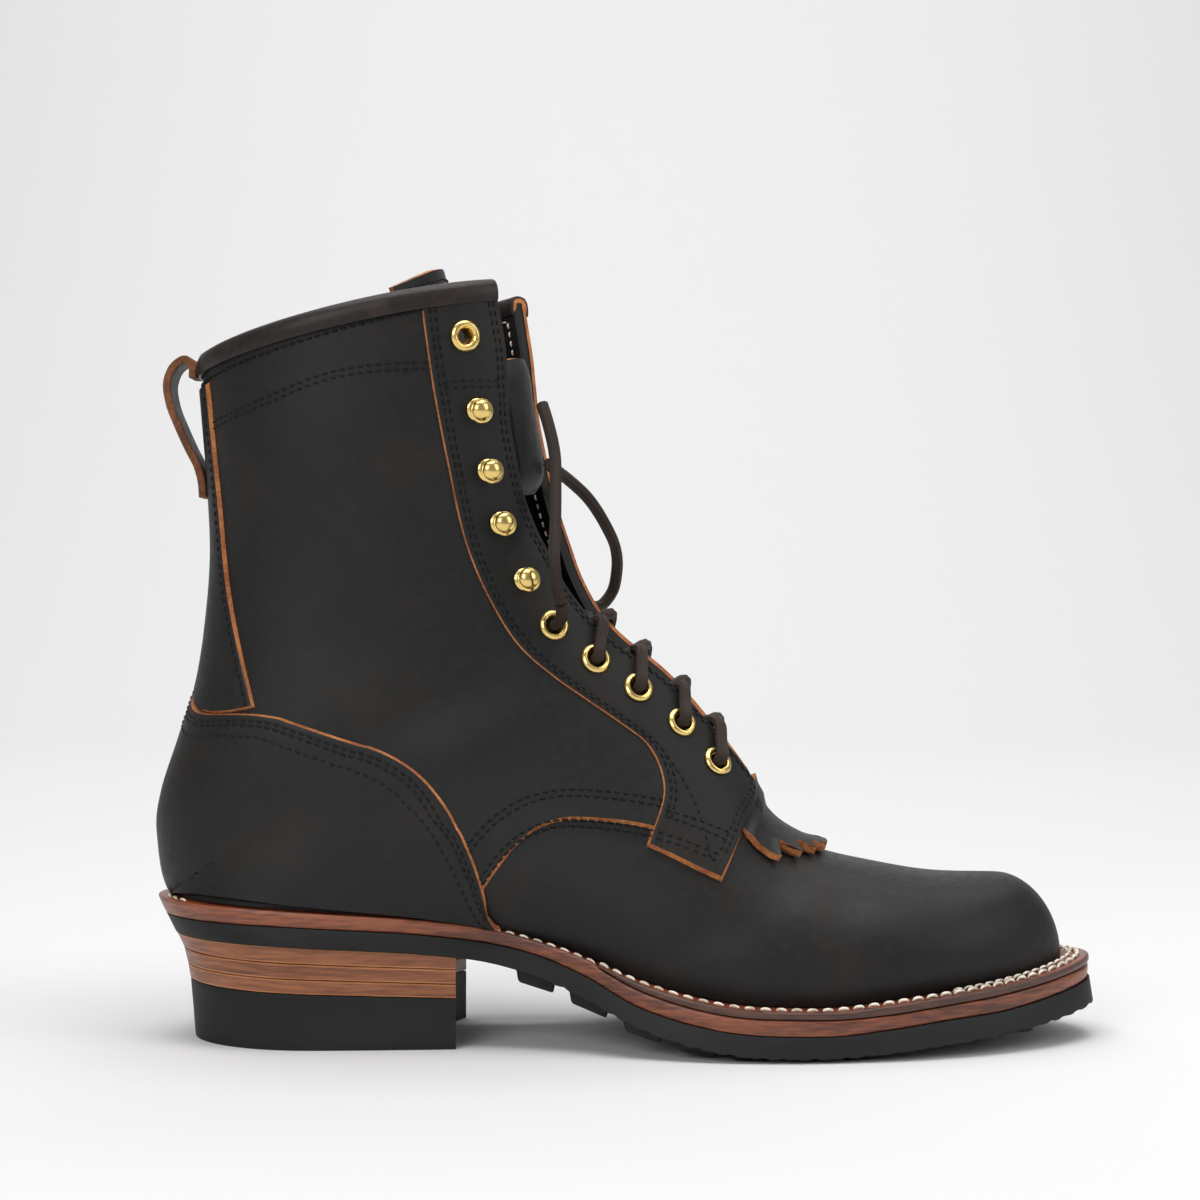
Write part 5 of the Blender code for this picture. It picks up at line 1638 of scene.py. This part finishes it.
@dataclass
class Upper:
    """The leather upper: vamp, quarters, counter, backstay, facings, collar binding and pull loop."""

    quarter_top: float = 1.1
    stay_top: float = OVERLAY_GAP + OVERLAY
    wrap_top: float = WRAP_GAP + OVERLAY
    pitch: float = 2.9
    thread_radius: float = 0.3
    near: tuple = (0.0, 0.25, 0.6, 1.0, 1.5, 2.0, 2.5, 3.0, 3.5, 4.0, 4.6)
    quarter_rows: tuple = ((2.4, 0.03, 0.95), (4.2, 0.03, 0.95), (11.6, 0.0, 0.93), (13.5, 0.0, 0.93))
    counter_rows: tuple = (2.2, 3.9, 8.2)
    backstay_row: float = 1.9
    stay_rows: tuple = (2.0, 3.7)
    facing_row: float = 4.4
    strap_half: float = 7.5
    strap_half_thick: float = 1.3
    black: Shape = field(default_factory=Shape)
    count: int = 0

    def sew(self, line: tuple[Array, Array]) -> None:
        """Adds a row of black stitches along a line and its outward directions."""
        self.count += self.black.stitches(line[0], line[1], self.pitch, 0.74, self.thread_radius)

    def shell(self) -> None:
        """Vamp and quarters as one wall, with its lining inside."""
        toe = 3 - 3 * np.sin(np.linspace(math.pi / 2, 0, 40))
        spans = ((3.05, 6, 40), (6.03, 12.5, 90), (12.55, 13.0, 12), (13.05, COLLAR_ROW, 84))
        rows = np.concatenate([toe] + [np.linspace(*span) for span in spans])
        shares = np.linspace(0, 1, 76)
        shape = Shape()
        for side in (LATERAL, MEDIAL):
            start = LAST.flap_turn(rows, side)[:, None]
            turn = start + (1 - start) * shares
            row = np.broadcast_to(rows[:, None], turn.shape)
            outer, out = LAST.skin(row, turn, side)
            keep = clear_of_holes(outer, side)
            first = shape.grid(outer, 0, keep=keep)
            second = shape.grid(LAST.plain(row, turn, side) - out * WALL, 1, keep=keep)
            for column, open_rows in ((0, rows > THROAT_ROW - 0.1), (-1, rows < HEEL_ROW + 0.01)):
                shape.quads(np.stack([first[:, column], second[:, column]])[:, open_rows], 0)
            shape.quads(np.stack([first[-1], second[-1]]), 2)
        item = shape.make("upper_leather", [Finish.BLACK, Finish.LINING, Finish.RAW], 50, 0.02)
        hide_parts("upper")

    def quarter(self, side: int) -> None:
        """The quarter over the vamp: its arched raw edge and two double rows of stitches."""
        count, rise = 170, 90
        hidden = LAST.traced(COUNTER_TOP, 40, side)[::-1]
        hidden[:, 1] = np.minimum(hidden[:, 1] + 0.05, 1.0)
        foot = LAST.traced(QUARTER_FOOT, 60, side)
        bottom = LAST.spread(np.concatenate([foot[:-4], hidden[7:-3], [[COUNTER_TOP_ROW, 1.0]]]), count, side)
        front = LAST.traced(EYESTAY_REAR, 60, side)
        front[:, 1] = np.maximum(front[:, 1] - 0.035, 0.02)
        front = LAST.spread(np.concatenate([front[::-1], [[COLLAR_ROW, front[0, 1]]]]), rise, side)
        top = np.stack([np.full(count, front[-1, 0]), np.linspace(front[-1, 1], 1.0, count)], 1)
        back = np.stack([np.linspace(COUNTER_TOP_ROW, front[-1, 0], rise), np.ones(rise)], 1)
        u = np.linspace(0, 1, count)[:, None, None]
        v = np.concatenate([np.linspace(0, 0.06, 9)[:-1], np.linspace(0.06, 1, 82)])
        left, right = (along_line(line, np.arange(rise), v * (rise - 1)) for line in (front, back))
        v = v[:, None]
        places = (1 - v) * bottom[:, None] + v * top[:, None] + (1 - u) * left + u * right
        places -= (1 - u) * ((1 - v) * bottom[0] + v * top[0]) + u * ((1 - v) * bottom[-1] + v * top[-1])
        base, out = LAST.skin(places[..., 0], np.clip(places[..., 1], 0.0, 1.0), side)
        shape = Shape()
        shape.panel(base, out, self.quarter_top, 0.02, 1.0, keep=clear_of_holes(base, side))
        item = shape.make(f"quarter_{word(side)}", [Finish.BLACK, Finish.RAW], 40, 0.004)
        for row in self.quarter_rows:
            self.sew(self.above_foot(side, *row))

    def above_foot(self, side: int, rise: float, start: float, stop: float) -> tuple[Array, Array]:
        """A line inside the quarter's arched edge.

        Args:
            side: LATERAL or MEDIAL.
            rise: its distance from the edge in the side view.
            start: where it begins, as a share of the edge's length.
            stop: where it ends.

        Returns:
            Its points and their outward directions.
        """
        curve = through(columns(QUARTER_FOOT, "x", "z"), 80)
        way = unit(np.gradient(curve, axis=0))
        inward = np.stack([way[:, 1], -way[:, 0]], 1)
        shifted = (curve + inward * rise)[int(start * 80) : int(stop * 80)]
        places = LAST.locate(shifted[:, 0], shifted[:, 1], side)
        return on_last(places, side, self.quarter_top)

    def counter(self) -> None:
        """The raised wrap round the heel with its tan upper edge and three rows of stitches."""
        count, low_row = 110, HEEL_ROW + 0.04
        front_z = SOLE.level("seat", COUNTER_FRONT_X) + SEAT_GAP + 0.5
        parts = []
        for side in (LATERAL, MEDIAL):
            edge = np.concatenate([[[COUNTER_TOP_ROW, 1.0]], LAST.traced(COUNTER_TOP, 24, side)[2:]])
            front = LAST.locate(COUNTER_FRONT_X, front_z, side)[0, 0]
            rows = low_row - (low_row - front) * np.linspace(0, 1, 60)
            turns = 1.0 - 0.03 * np.clip((HEEL_ROW - rows) / 0.5, 0, 1)
            order = slice(None, None, -1) if side == LATERAL else slice(1, None)
            lines = (edge, np.stack([rows, turns], 1))
            parts.append([LAST.spread(line, count, side)[order] for line in lines])
            parts[-1].append(np.full(len(parts[-1][0]), side))
        tops, feet, sides = (np.concatenate(pair) for pair in zip(*parts))
        strip = Strip(tops, feet, sides, self.near, 46, (0.0, 1.0))
        base = strip.base.copy()
        floor = SOLE.level("seat", base[..., 0]) + SEAT_GAP
        base[..., 2] = np.maximum(base[..., 2], floor - 0.3)
        shape = Shape()
        drop = strip.edge_drop(self.counter_rows[:2], False)
        shape.panel(base, strip.out, self.wrap_top - drop, 0.6, 1.0, dark_far=True)
        item = shape.make("counter_leather", [Finish.BLACK, Finish.RAW], 42)
        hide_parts("counter")
        for distance in self.counter_rows:
            self.sew(strip.line(distance, self.wrap_top - 0.1, start=0.01, stop=0.99))

    def backstay(self) -> None:
        """The strap up the back seam with its tan edges."""
        count, halves = 70, []
        for side in (LATERAL, MEDIAL):
            front = LAST.spread(LAST.traced(BACKSTAY_FRONT, 30, side), count, side)
            rows = np.linspace(COUNTER_TOP_ROW + 0.1, front[-1, 0], count)
            centre = np.stack([rows, np.ones(count)], 1)
            strip = Strip(front, centre, side, (0.0, 0.25, 0.6, 1.0, 1.5, 2.0, 2.6), 6, (0.0,))
            drop = strip.edge_drop((self.backstay_row,), False)
            halves.append((strip.base, strip.out, self.wrap_top - drop))
            self.sew(strip.line(self.backstay_row, self.wrap_top - 0.1))
        base, out, top = (np.concatenate([left, right[:, -2::-1]], axis=1) for left, right in zip(*halves))
        shape = Shape()
        shape.panel(base, out, top, 0.6, 0.7)
        item = shape.make("backstay_leather", [Finish.BLACK, Finish.RAW], 42)
        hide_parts("backstay")

    def eyestay_strip(self, side: int, count: int) -> Strip:
        """The facing's band from the collar to its foot.

        Args:
            side: LATERAL or MEDIAL.
            count: how many rows it gets.

        Returns:
            The band.
        """
        rows = np.linspace(COLLAR_ROW - 0.1, EYESTAY_FOOT_ROW, 60)
        front = np.stack([rows, LAST.flap_turn(rows, side) + 0.003], 1)
        toe = columns(EYESTAY_TOE, "x", "z")[1:]
        front = np.concatenate([front, LAST.locate(toe[:, 0], toe[:, 1], side, 5.0)])
        rear = LAST.traced(EYESTAY_REAR, 90, side)
        rear = np.concatenate([[[COLLAR_ROW - 0.1, rear[0, 1]]], rear])
        return Strip(LAST.spread(front, count, side), LAST.spread(rear, count, side), side, self.near, 18)

    def eyestay(self, side: int) -> None:
        """The facing that carries the eyelets and hooks of one flap, with its rows of stitches."""
        strip = self.eyestay_strip(side, 190)
        top = self.stay_top - strip.edge_drop(self.stay_rows)
        shape = Shape()
        shape.panel(strip.base, strip.out, top, 0.1, 0.8, keep=clear_of_holes(strip.base, side))
        item = shape.make(f"eyestay_{word(side)}_leather", [Finish.BLACK, Finish.RAW], 42)
        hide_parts(f"eyestay_{word(side)}")
        face = self.stay_top - 0.1
        for distance in self.stay_rows:
            self.sew(strip.line(distance, face, start=0.02, stop=0.97))
            self.sew(strip.line(distance, face, rear=True, start=0.02, stop=0.955))
        for row in EYESTAY_CROSS_ROWS:
            self.sew(side_line(row, side, face, 24, 4.5))

    def top_band(self) -> None:
        """Stitch rows of the reinforcement under the collar, and the binding's own row."""
        for side in (LATERAL, MEDIAL):
            for drop in (0.0, 2.0):
                self.sew(side_line([(x, z - drop) for x, z in TOP_BAND], side, self.quarter_top, 50))
            turns = np.linspace(float(LAST.flap_turn(COLLAR_ROW, side)) + 0.02, 0.985, 60)
            self.sew(on_last(np.stack([np.full(60, COLLAR_ROW - 0.42), turns], 1), side, 1.6))

    def facing(self, side: int) -> None:
        """The black strip inside a flap, with its white stitches."""
        rows = np.linspace(COLLAR_ROW - 0.15, 7.2, 60)
        edge = LAST.flap_turn(rows, side)
        front, rear = (LAST.spread(np.stack([rows, edge + off], 1), 120, side) for off in (0.002, 0.17))
        strip = Strip(front, rear, side, (0.0, 0.5, 1.0), 22)
        keep = clear_of_holes(strip.base, side)
        shape = Shape()
        shape.panel(strip.base, -strip.out, WALL + 1.1, WALL - 0.05, 0.2, (0, 0, 0), keep)
        shape.make(f"facing_{word(side)}", [Finish.FACING], 42)
        thread = Shape()
        depth = -WALL - 1.15
        turns = np.linspace(edge[0] + 0.028, edge[0] + 0.16, 20)
        across = np.stack([np.full(len(turns), COLLAR_ROW - 0.62), turns], 1)
        rows = (strip.line(self.facing_row, depth, start=0.03, stop=0.97), on_last(across, side, depth))
        for line, out in rows:
            thread.stitches(line, -out, 3.2, 0.66, 0.32)
        thread.make(f"facing_stitching_{word(side)}", [Finish.WHITE_THREAD], 80)

    def binding(self) -> None:
        """The rolled edge over the collar."""
        reach, drop = np.array(ROLL_FORM).T
        rings = []
        for side in (LATERAL, MEDIAL):
            start = float(LAST.flap_turn(COLLAR_ROW, side))
            turns = np.concatenate([[start - 0.002], np.linspace(start, 1.0, 90)])
            row = np.full(len(turns), float(COLLAR_ROW))
            base = LAST.plain(row, turns, side)
            out = LAST.out(row, turns, side)
            down = unit(LAST.plain(row - 0.4, turns, side) - base)
            swell = 1 + 0.02 * np.sin(turns * 37) + 0.015 * np.sin(turns * 71 + 1)
            part = base[:, None] + out[:, None] * (reach * swell[:, None])[..., None]
            part = part + down[:, None] * drop[:, None]
            part[0] = part[0].mean(0) * 0.25 + part[0] * 0.75
            rings.append(part if side == LATERAL else part[::-1][1:])
        shape = Shape()
        shape.caps(shape.grid(np.concatenate(rings), wrap=True), 1)
        item = shape.make("collar_roll", [Finish.BINDING, Finish.RAW], 50)
        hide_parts("collar_binding")

    def pull_loop(self) -> None:
        """The folded strap at the top of the back: black outside, flesh side in, thick tan edges."""
        path = through(columns(PULL_LOOP, "x", "z"), 70)
        along = unit(np.gradient(path, axis=0))
        side = np.stack([-along[:, 1], along[:, 0]], 1)
        half, thick, cut = self.strap_half, self.strap_half_thick, 0.4
        inside = [(-half, cut - thick), (cut - half, -thick), (half - cut, -thick), (half, cut - thick)]
        wide, deep = np.array(inside + [(-y, -z) for y, z in inside]).T
        points = np.zeros((len(path), len(wide), 3))
        points[..., 0] = path[:, :1] + side[:, :1] * deep
        points[..., 1] = wide
        points[..., 2] = path[:, 1:] + side[:, 1:] * deep
        shape = Shape()
        index = shape.add(points) + np.arange(points[..., 0].size).reshape(-1, len(wide))
        for k, slot in enumerate((1, 1, 1, 1, 1, 0, 1, 1)):
            shape.quads(np.stack([index[:, k], index[:, (k + 1) % len(wide)]], 1), slot)
        shape.caps(index, 1)
        item = shape.make("pull_strap", [Finish.BLACK, Finish.FLESH], 40)
        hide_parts("pull_loop")

    def build(self) -> None:
        """Builds the whole upper."""
        self.shell()
        for side in (LATERAL, MEDIAL):
            self.quarter(side)
            self.eyestay(side)
            self.facing(side)
        self.counter()
        self.backstay()
        self.top_band()
        self.binding()
        self.pull_loop()
        LOG.info("black stitches: %d", self.count)
        self.black.make("upper_stitching", [Finish.BLACK_THREAD], 80)


@dataclass
class Throat:
    """What fills the throat: tongue, gusset fold and fringed kiltie."""

    slit: float = 0.12
    curl: float = 0.9
    dive: float = 1.5
    top_limit: float = 6.7

    @staticmethod
    def tongue_points(values: Array, shares: Array, depth: float) -> Array:
        """Points of the tongue.

        Args:
            values: the row, lean, half-width and rise of each line across it.
            shares: the places on each line, from -1 at its lateral end to 1.
            depth: how far the points lie under the upper's surface.

        Returns:
            The points, line by line.
        """
        row, lean, half, rise = (values[:, k][:, None] for k in range(4))
        shares = np.broadcast_to(shares, (len(values), shares.shape[-1]))
        side = np.where(shares < 0, LATERAL, MEDIAL)
        row = np.broadcast_to(row, shares.shape)
        front_x, front_z, back_x, back_z, wide, _, power = LAST.section(row, side)[:7]
        turn = np.arcsin(np.clip(np.abs(shares) * half / wide, 0, 1) ** (power / 2)) / math.pi
        point = LAST.plain(row, turn, side) + LAST.out(row, turn, side) * -depth
        inward = unit(np.stack([back_x - front_x, np.zeros_like(back_x), back_z - front_z], axis=-1))
        up = np.array((-0.2, 0.0, 0.98)) * (rise * (1 - 0.55 * shares**2))[..., None]
        return point + inward * lean[..., None] + up

    def tongue(self) -> None:
        """The sheet under the laces, leaning back inside the shaft, with its raw top edge."""
        values = columns(TONGUE, *TONGUE[0])
        path = Curve(np.arange(len(values)), values)
        steps = np.concatenate([np.linspace(0, 9, 90), np.linspace(9.1, 10, 12)])
        shares = np.linspace(-1, 1, 49)
        shape = Shape()
        high = self.tongue_points(path(steps), shares, TONGUE_DEPTH)
        low = self.tongue_points(path(steps), shares, TONGUE_DEPTH + TONGUE_WALL)
        first, second = shape.grid(high, 0), shape.grid(low, 2)
        shape.rim(Shape.border(first), Shape.border(second), 1)
        item = shape.make("tongue_leather", [Finish.BLACK, Finish.RAW, Finish.LINING], 42)
        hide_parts("tongue")
        line = self.tongue_points(path(np.array([9.74])), np.linspace(-0.96, 0.96, 50), TONGUE_DEPTH - 0.1)[0]
        thread = Shape()
        thread.stitches(line, unit(np.tile((1.0, 0.0, 0.3), (len(line), 1))), 3.0, 0.7, 0.3)
        thread.make("tongue_stitching", [Finish.BLACK_THREAD], 80)

    def gusset(self) -> None:
        """The bellows fold that stands forward between the flaps, its top edge raw."""
        table = Curve.of(GUSSET, "z", "x", "lateral", "medial")
        z = np.linspace(GUSSET[1][0], GUSSET[-1][0], 50)
        x, lateral, medial = table(z).T
        share = np.linspace(-1, 1, 49)
        y = np.where(share[None] < 0, share * lateral[:, None], share * medial[:, None])
        shape = Shape()
        grids = []
        for depth in (0.0, GUSSET_WALL):
            at = x[:, None] - depth - GUSSET_SAG * share**2
            up = z[:, None] + 0.14 * y * share**2
            grids.append(shape.grid(np.stack([at, y, up], axis=-1), 0 if depth == 0 else 2))
        walls = [(table[0], table[:, 0], table[:, -1], table[-1]) for table in grids]
        for front, back, slot in zip(*walls, (0, 0, 0, 1)):
            shape.quads(np.stack([front, back]), slot)
        item = shape.make("gusset_leather", [Finish.BLACK, Finish.RAW, Finish.LINING], 42)
        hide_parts("gusset")

    @staticmethod
    def row_at(tip: float, turn: float, side: int) -> float:
        """Finds by halving where a strip's tip lies.

        Args:
            tip: its place along the foot.
            turn: its turn.
            side: LATERAL or MEDIAL.

        Returns:
            Its row.
        """
        low, high = 0.5, 8.0
        for _ in range(26):
            middle = (low + high) / 2
            ahead = LAST.plain(middle, turn, side)[0] > tip
            low, high = (middle, high) if ahead else (low, middle)
        return (low + high) / 2

    def kiltie(self) -> None:
        """The false tongue over the vamp, its front cut into stepped strips with thick tan ends."""
        share = np.concatenate([np.linspace(0, 0.9, 30), np.linspace(0.92, 1.0, 6)])
        lines = []
        for side in (LATERAL, MEDIAL):
            foot = Upper().eyestay_strip(side, 60).start[-14:]
            foot = foot[np.argsort(foot[:, 1])]
            half, power = (float(LAST.section(5.0, side)[k]) for k in (4, 6))
            part = []
            for inner, outer, tip_inner, tip_outer in KILTIE_STRIPS[1:]:
                for t in np.linspace(0, 1, 7):
                    y = inner + self.slit / 2 + (outer - inner - self.slit) * t if inner else 0.99 * outer * t
                    turn = math.asin((y / half) ** (power / 2)) / math.pi
                    start = min(np.interp(turn, foot[:, 1], foot[:, 0]) - 0.25, self.top_limit) + 0.32
                    end = self.row_at(tip_inner + (tip_outer - tip_inner) * t, turn, side)
                    rows = start + (end - start) * share
                    part.append((rows, np.full(len(rows), turn), np.full(len(rows), side)))
            lines += part[::-1] if side == LATERAL else part[1:]
        rows, turns, sides = (np.stack(values) for values in zip(*lines))
        shape = Shape()
        out = LAST.out(rows, turns, sides)
        base = LAST.plain(rows, turns, sides)
        under = self.dive * smooth((rows - rows[:, :1] + 0.5) / 0.35)
        lift = KILTIE_LIFT + self.curl * np.clip((share - 0.8) / 0.2, 0, 1) ** 2 - under
        low = base + out * lift[..., None]
        high = base + out * (lift + KILTIE_WALL)[..., None]
        high[..., 2] = np.maximum(high[..., 2], SOLE.level("seat", base[..., 0]) + SEAT_GAP)
        first, second = shape.grid(high, 0), shape.grid(low, 2)
        shape.rim(Shape.border(first), Shape.border(second), 1)
        item = shape.make("kiltie_leather", [Finish.BLACK, Finish.RAW, Finish.FLESH], 30, 0.002)
        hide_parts("kiltie")

    def build(self) -> None:
        """Builds all three."""
        self.tongue()
        self.gusset()
        self.kiltie()


@dataclass
class Hardware:
    """Brass eyelets with their barrels and washers, and ball hooks."""

    barrel_depth: float = 6.2

    def eyelet(self, shape: Shape, centre: Array, out: Array) -> None:
        """Adds a rolled flange, the barrel through the leather and the washer behind it.

        Args:
            shape: what its faces are added to.
            centre: its middle, on the facing's face.
            out: its outward direction.
        """
        outer, bore, deep = EYELET_RADIUS, EYELET_BORE, self.barrel_depth
        flange = [(bore - 0.35, -0.2), (bore - 0.1, 0.6), (bore + 0.45, 1.15), (bore + 1.1, 1.4)]
        flange += [(outer - 0.9, 1.25), (outer - 0.25, 0.85), (outer, 0.3), (outer - 0.1, 0.0)]
        barrel = [(bore + 0.2, -0.1), (bore + 0.1, 0.6 - deep)]
        washer = [(outer - 0.6, 0.5 - deep), (outer - 0.5, -deep)]
        start = [(bore - 0.35, -deep)]
        shape.turned(start + flange + barrel + washer + start, centre, out, 44)

    @staticmethod
    def hook(shape: Shape, centre: Array, out: Array) -> None:
        """Adds a round foot, a short neck and the domed ball that the lace catches under.

        Args:
            shape: what its faces are added to.
            centre: its middle, on the facing's face.
            out: its outward direction.
        """
        radius = HOOK_RADIUS
        foot = [(0.01, 0.3), (3.4, 0.3), (3.6, 0.6), (3.2, 1.0), (1.7, 1.3), (1.6, 2.6), (0.01, 2.6)]
        shape.turned(foot, centre, out)
        shell = [(0.01, 2.6), (2.4, 2.7), (radius - 0.15, 3.1), (radius, 3.5), (radius - 0.25, 3.8)]
        shell.append((0.01, 3.8))
        droop = np.array((0.25, 0.0, -0.35))
        shape.turned(shell, centre + droop, out)
        angle = np.linspace(0, math.pi / 2, 10)
        dome = [(3.45 * math.cos(a) + 0.01, 3.7 + 2.3 * math.sin(a)) for a in angle]
        shape.turned([(0.01, 3.6), (3.3, 3.6)] + dome, centre, out)

    def build(self) -> None:
        """Builds every eyelet and hook."""
        for side in (LATERAL, MEDIAL):
            for number, kind, centre, out in fittings(side):
                shape = Shape()
                if kind == "eyelet":
                    self.eyelet(shape, centre, out)
                else:
                    self.hook(shape, centre, out)
                item = shape.make(f"brass_{kind}_{word(side)}_{number}", [Finish.BRASS], 60)
                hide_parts(f"{kind}_{word(side)}_{number}")


@dataclass
class Lacing:
    """The waxed laces: crossings through the five lower eyelets, a free end and a loose loop."""

    ridges: int = 8
    sides: int = 32
    over_lift: float = 4.3
    under_lift: float = -WALL - 3.2
    cross_gap: float = 2.1

    @staticmethod
    def places(side: int) -> list[tuple[Array, Array]]:
        """The five lower eyelets' centres and directions."""
        return [(c, out) for _, _, c, out in fittings(side)][:5]

    def strand(self, first: int) -> Array:
        """One lace from its bottom bar up to the fifth eyelet.

        It comes out of each eyelet, runs over that flap's edge, crosses, and dives under the other flap.

        Args:
            first: the side of its first eyelet.

        Returns:
            The points that it runs through.
        """
        holes = {side: self.places(side) for side in (LATERAL, MEDIAL)}
        rows = [LAST.locate(x, z, LATERAL)[0, 0] for _, x, z in EYELET_PLACES[1:6]]
        centre, out = holes[first][0]
        other_centre = holes[-first][0][0]
        points = [(centre + other_centre) / 2 - np.array((4.0, first * 1.0, 5.0)), centre - out * 6.5]
        side = first
        for i, row in enumerate(rows):
            centre, out = holes[side][i]
            points += [centre - out * 0.6, centre + out * 2.3]
            if i == 4:
                turn = LACE_TURN_LATERAL if side == LATERAL else LACE_TURN_MEDIAL
                points += [centre + out * (LACE_LIFT - 2.0) + turn * 0.2, centre + out * LACE_LIFT + turn]
                break
            step = rows[i + 1] - row
            over = self.at_edge(row + step * 0.42, side, self.over_lift)
            under = self.at_edge(row + step * 0.72, -side, self.under_lift)
            lift = self.cross_gap if side == first else -self.cross_gap
            middle = (over + under) / 2 + unit(LACE_RISE) * lift
            nearer = centre * 0.45 + over * 0.55 + out * 1.2
            next_centre, next_out = holes[-side][i + 1]
            points += [nearer, over, middle, under, next_centre - next_out * 6.0]
            side = -side
        return np.array(points)

    @staticmethod
    def at_edge(row: float, side: int, lift: float) -> Array:
        """The point at this height over a flap's edge."""
        turn = float(LAST.flap_turn(row, side))
        return LAST.plain(row, turn, side) + LAST.out(row, turn + 0.02, side) * lift

    def bars(self) -> None:
        """Both laces through the lower eyelets, as one piece in the place of the joined crossings."""
        shape = Shape()
        for first in (LATERAL, MEDIAL):
            path = through(self.strand(first), 420)
            shape.tube(path, LACE_RADIUS, self.sides, self.ridges)
        item = shape.make("lace_crossings", [Finish.LACE], 70, 0.001)
        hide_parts("lace_bars")

    def free(self, side: int, table: list[tuple], name: str, node: str, far_end: str) -> None:
        """A free length of lace from the fifth eyelet.

        Args:
            side: LATERAL or MEDIAL.
            table: the points that it runs through.
            name: the piece's name.
            node: the node that it stands for.
            far_end: what its far end is on; not used.
        """
        centre, out = self.places(side)[4]
        turn = LACE_TURN_LATERAL if side == LATERAL else LACE_TURN_MEDIAL
        way = unit(turn)
        start = centre + out * LACE_LIFT + turn + way * 2 * GAP
        places = np.vstack([start, start + way * LACE_LEAD, columns(table, "x", "y", "z")])
        path = through(places, 90)
        shape = Shape()
        shape.tube(path, LACE_RADIUS, self.sides, self.ridges)
        item = shape.make(name, [Finish.LACE], 70, 0.001)
        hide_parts(node)
        float(arc_lengths(path)[-1]) * MM

    def build(self) -> None:
        """Builds the laces, the free ones first."""
        self.free(LATERAL, LACE_END, "lace_end", "lace_end_lateral", "object")
        self.free(MEDIAL, LACE_LOOP, "lace_loop", "lace_loop_medial", "object")
        self.bars()


@dataclass
class Studio:
    """Camera, pale sweep and soft lights."""

    camera_place: tuple = (0.0895, -0.82, 0.1436)
    pixels: float = 1200.0
    focal_pixels: float = 2465.0
    paper: str = "#e4e4e4"
    air: float = 0.3
    floor_ends: tuple = (-9.0, 1.6)
    floor_half: float = 8.0
    curve_radius: float = 1.4
    wall_top: float = 5.0

    def camera(self) -> None:
        """The photograph's view: level, square to the boot's outer side."""
        data = bpy.data.cameras.new("camera")
        data.sensor_width = 36.0
        data.lens = 36.0 * self.focal_pixels / self.pixels
        data.clip_end = 20.0
        item = bpy.data.objects.new("camera", data)
        item.location = self.camera_place
        item.rotation_euler = (math.pi / 2, 0, 0)
        bpy.context.scene.collection.objects.link(item)
        bpy.context.scene.camera = item

    @staticmethod
    def light(name: str, place: tuple, aim: tuple, size: tuple, power: float) -> None:
        """Adds a soft rectangular white light.

        Args:
            name: its name.
            place: where it stands, in metres.
            aim: the point that it faces.
            size: its width and height.
            power: its power in watts.
        """
        data = bpy.data.lights.new(name, "AREA")
        data.shape = "RECTANGLE"
        data.size, data.size_y = size
        data.energy = power
        item = bpy.data.objects.new(name, data)
        item.location = place
        item.rotation_euler = (Vector(aim) - Vector(place)).to_track_quat("-Z", "Y").to_euler()
        bpy.context.scene.collection.objects.link(item)

    def sweep(self) -> None:
        """The paper floor that curves up behind the boot."""
        made, tree, shader, place = new_material("matt_paper")
        tooth = bump(tree, noise(tree, place, 1.5), 0.02, 0.1)
        set_inputs(tree, shader, {"Base Color": hex_linear(self.paper), "Roughness": 0.95, "Normal": tooth})
        set_inputs(tree, shader, {"Specular IOR Level": 0.1})
        (front, back), radius = self.floor_ends, self.curve_radius
        side = [(front, 0.0)]
        for angle in np.linspace(0, math.pi / 2, 24):
            side.append((back + radius * math.sin(angle), radius * (1 - math.cos(angle))))
        side.append((back + radius, self.wall_top))
        data = bpy.data.meshes.new("paper_sweep")
        points = [(x, y, z) for y, z in side for x in (-self.floor_half, self.floor_half)]
        faces = [(2 * i, 2 * i + 1, 2 * i + 3, 2 * i + 2) for i in range(len(side) - 1)]
        data.from_pydata(points, [], faces)
        data.materials.append(made)
        data.shade_smooth()
        item = bpy.data.objects.new("paper_sweep", data)
        bpy.context.scene.collection.objects.link(item)
        item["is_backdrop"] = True

    def build(self) -> None:
        """Lays the paper and sets the lights."""
        self.sweep()
        self.light("soft_top", (0.1, -0.15, 1.25), (0.1, 0.0, 0.1), (1.1, 0.8), 11)
        self.light("soft_front", (-0.55, -1.35, 0.75), (0.05, 0.0, 0.12), (0.9, 0.8), 9)
        self.light("soft_side", (1.3, -0.5, 0.7), (0.1, 0.0, 0.1), (0.6, 0.9), 4)
        self.light("back_wash", (0.1, 1.2, 2.0), (0.1, 2.6, 0.4), (3.0, 1.2), 38)
        world = bpy.data.worlds.new("studio_air")
        world.use_nodes = True
        back = world.node_tree.nodes["Background"]
        set_inputs(world.node_tree, back, {"Color": hex_linear("#ffffff"), "Strength": self.air})
        bpy.context.scene.world = world
        bpy.context.scene.view_settings.view_transform = "Standard"


def write_sizes(before: tuple) -> None:
    """Gathers the CAD's box and the dressed boot's box as lists of numbers."""
    boxes = {"cad": before, "visual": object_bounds()}
    rows = {name: [list(map(float, corner)) for corner in box] for name, box in boxes.items()}


def main() -> None:
    """Builds the camera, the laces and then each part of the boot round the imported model."""
    logging.basicConfig(level=logging.INFO, format="%(name)s: %(message)s")
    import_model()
    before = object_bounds()
    studio = Studio()
    studio.camera()
    Lacing().build()
    Hardware().build()
    SoleUnit().build()
    Upper().build()
    Throat().build()
    studio.build()
    write_sizes(before)


if __name__ == "__main__":
    main()
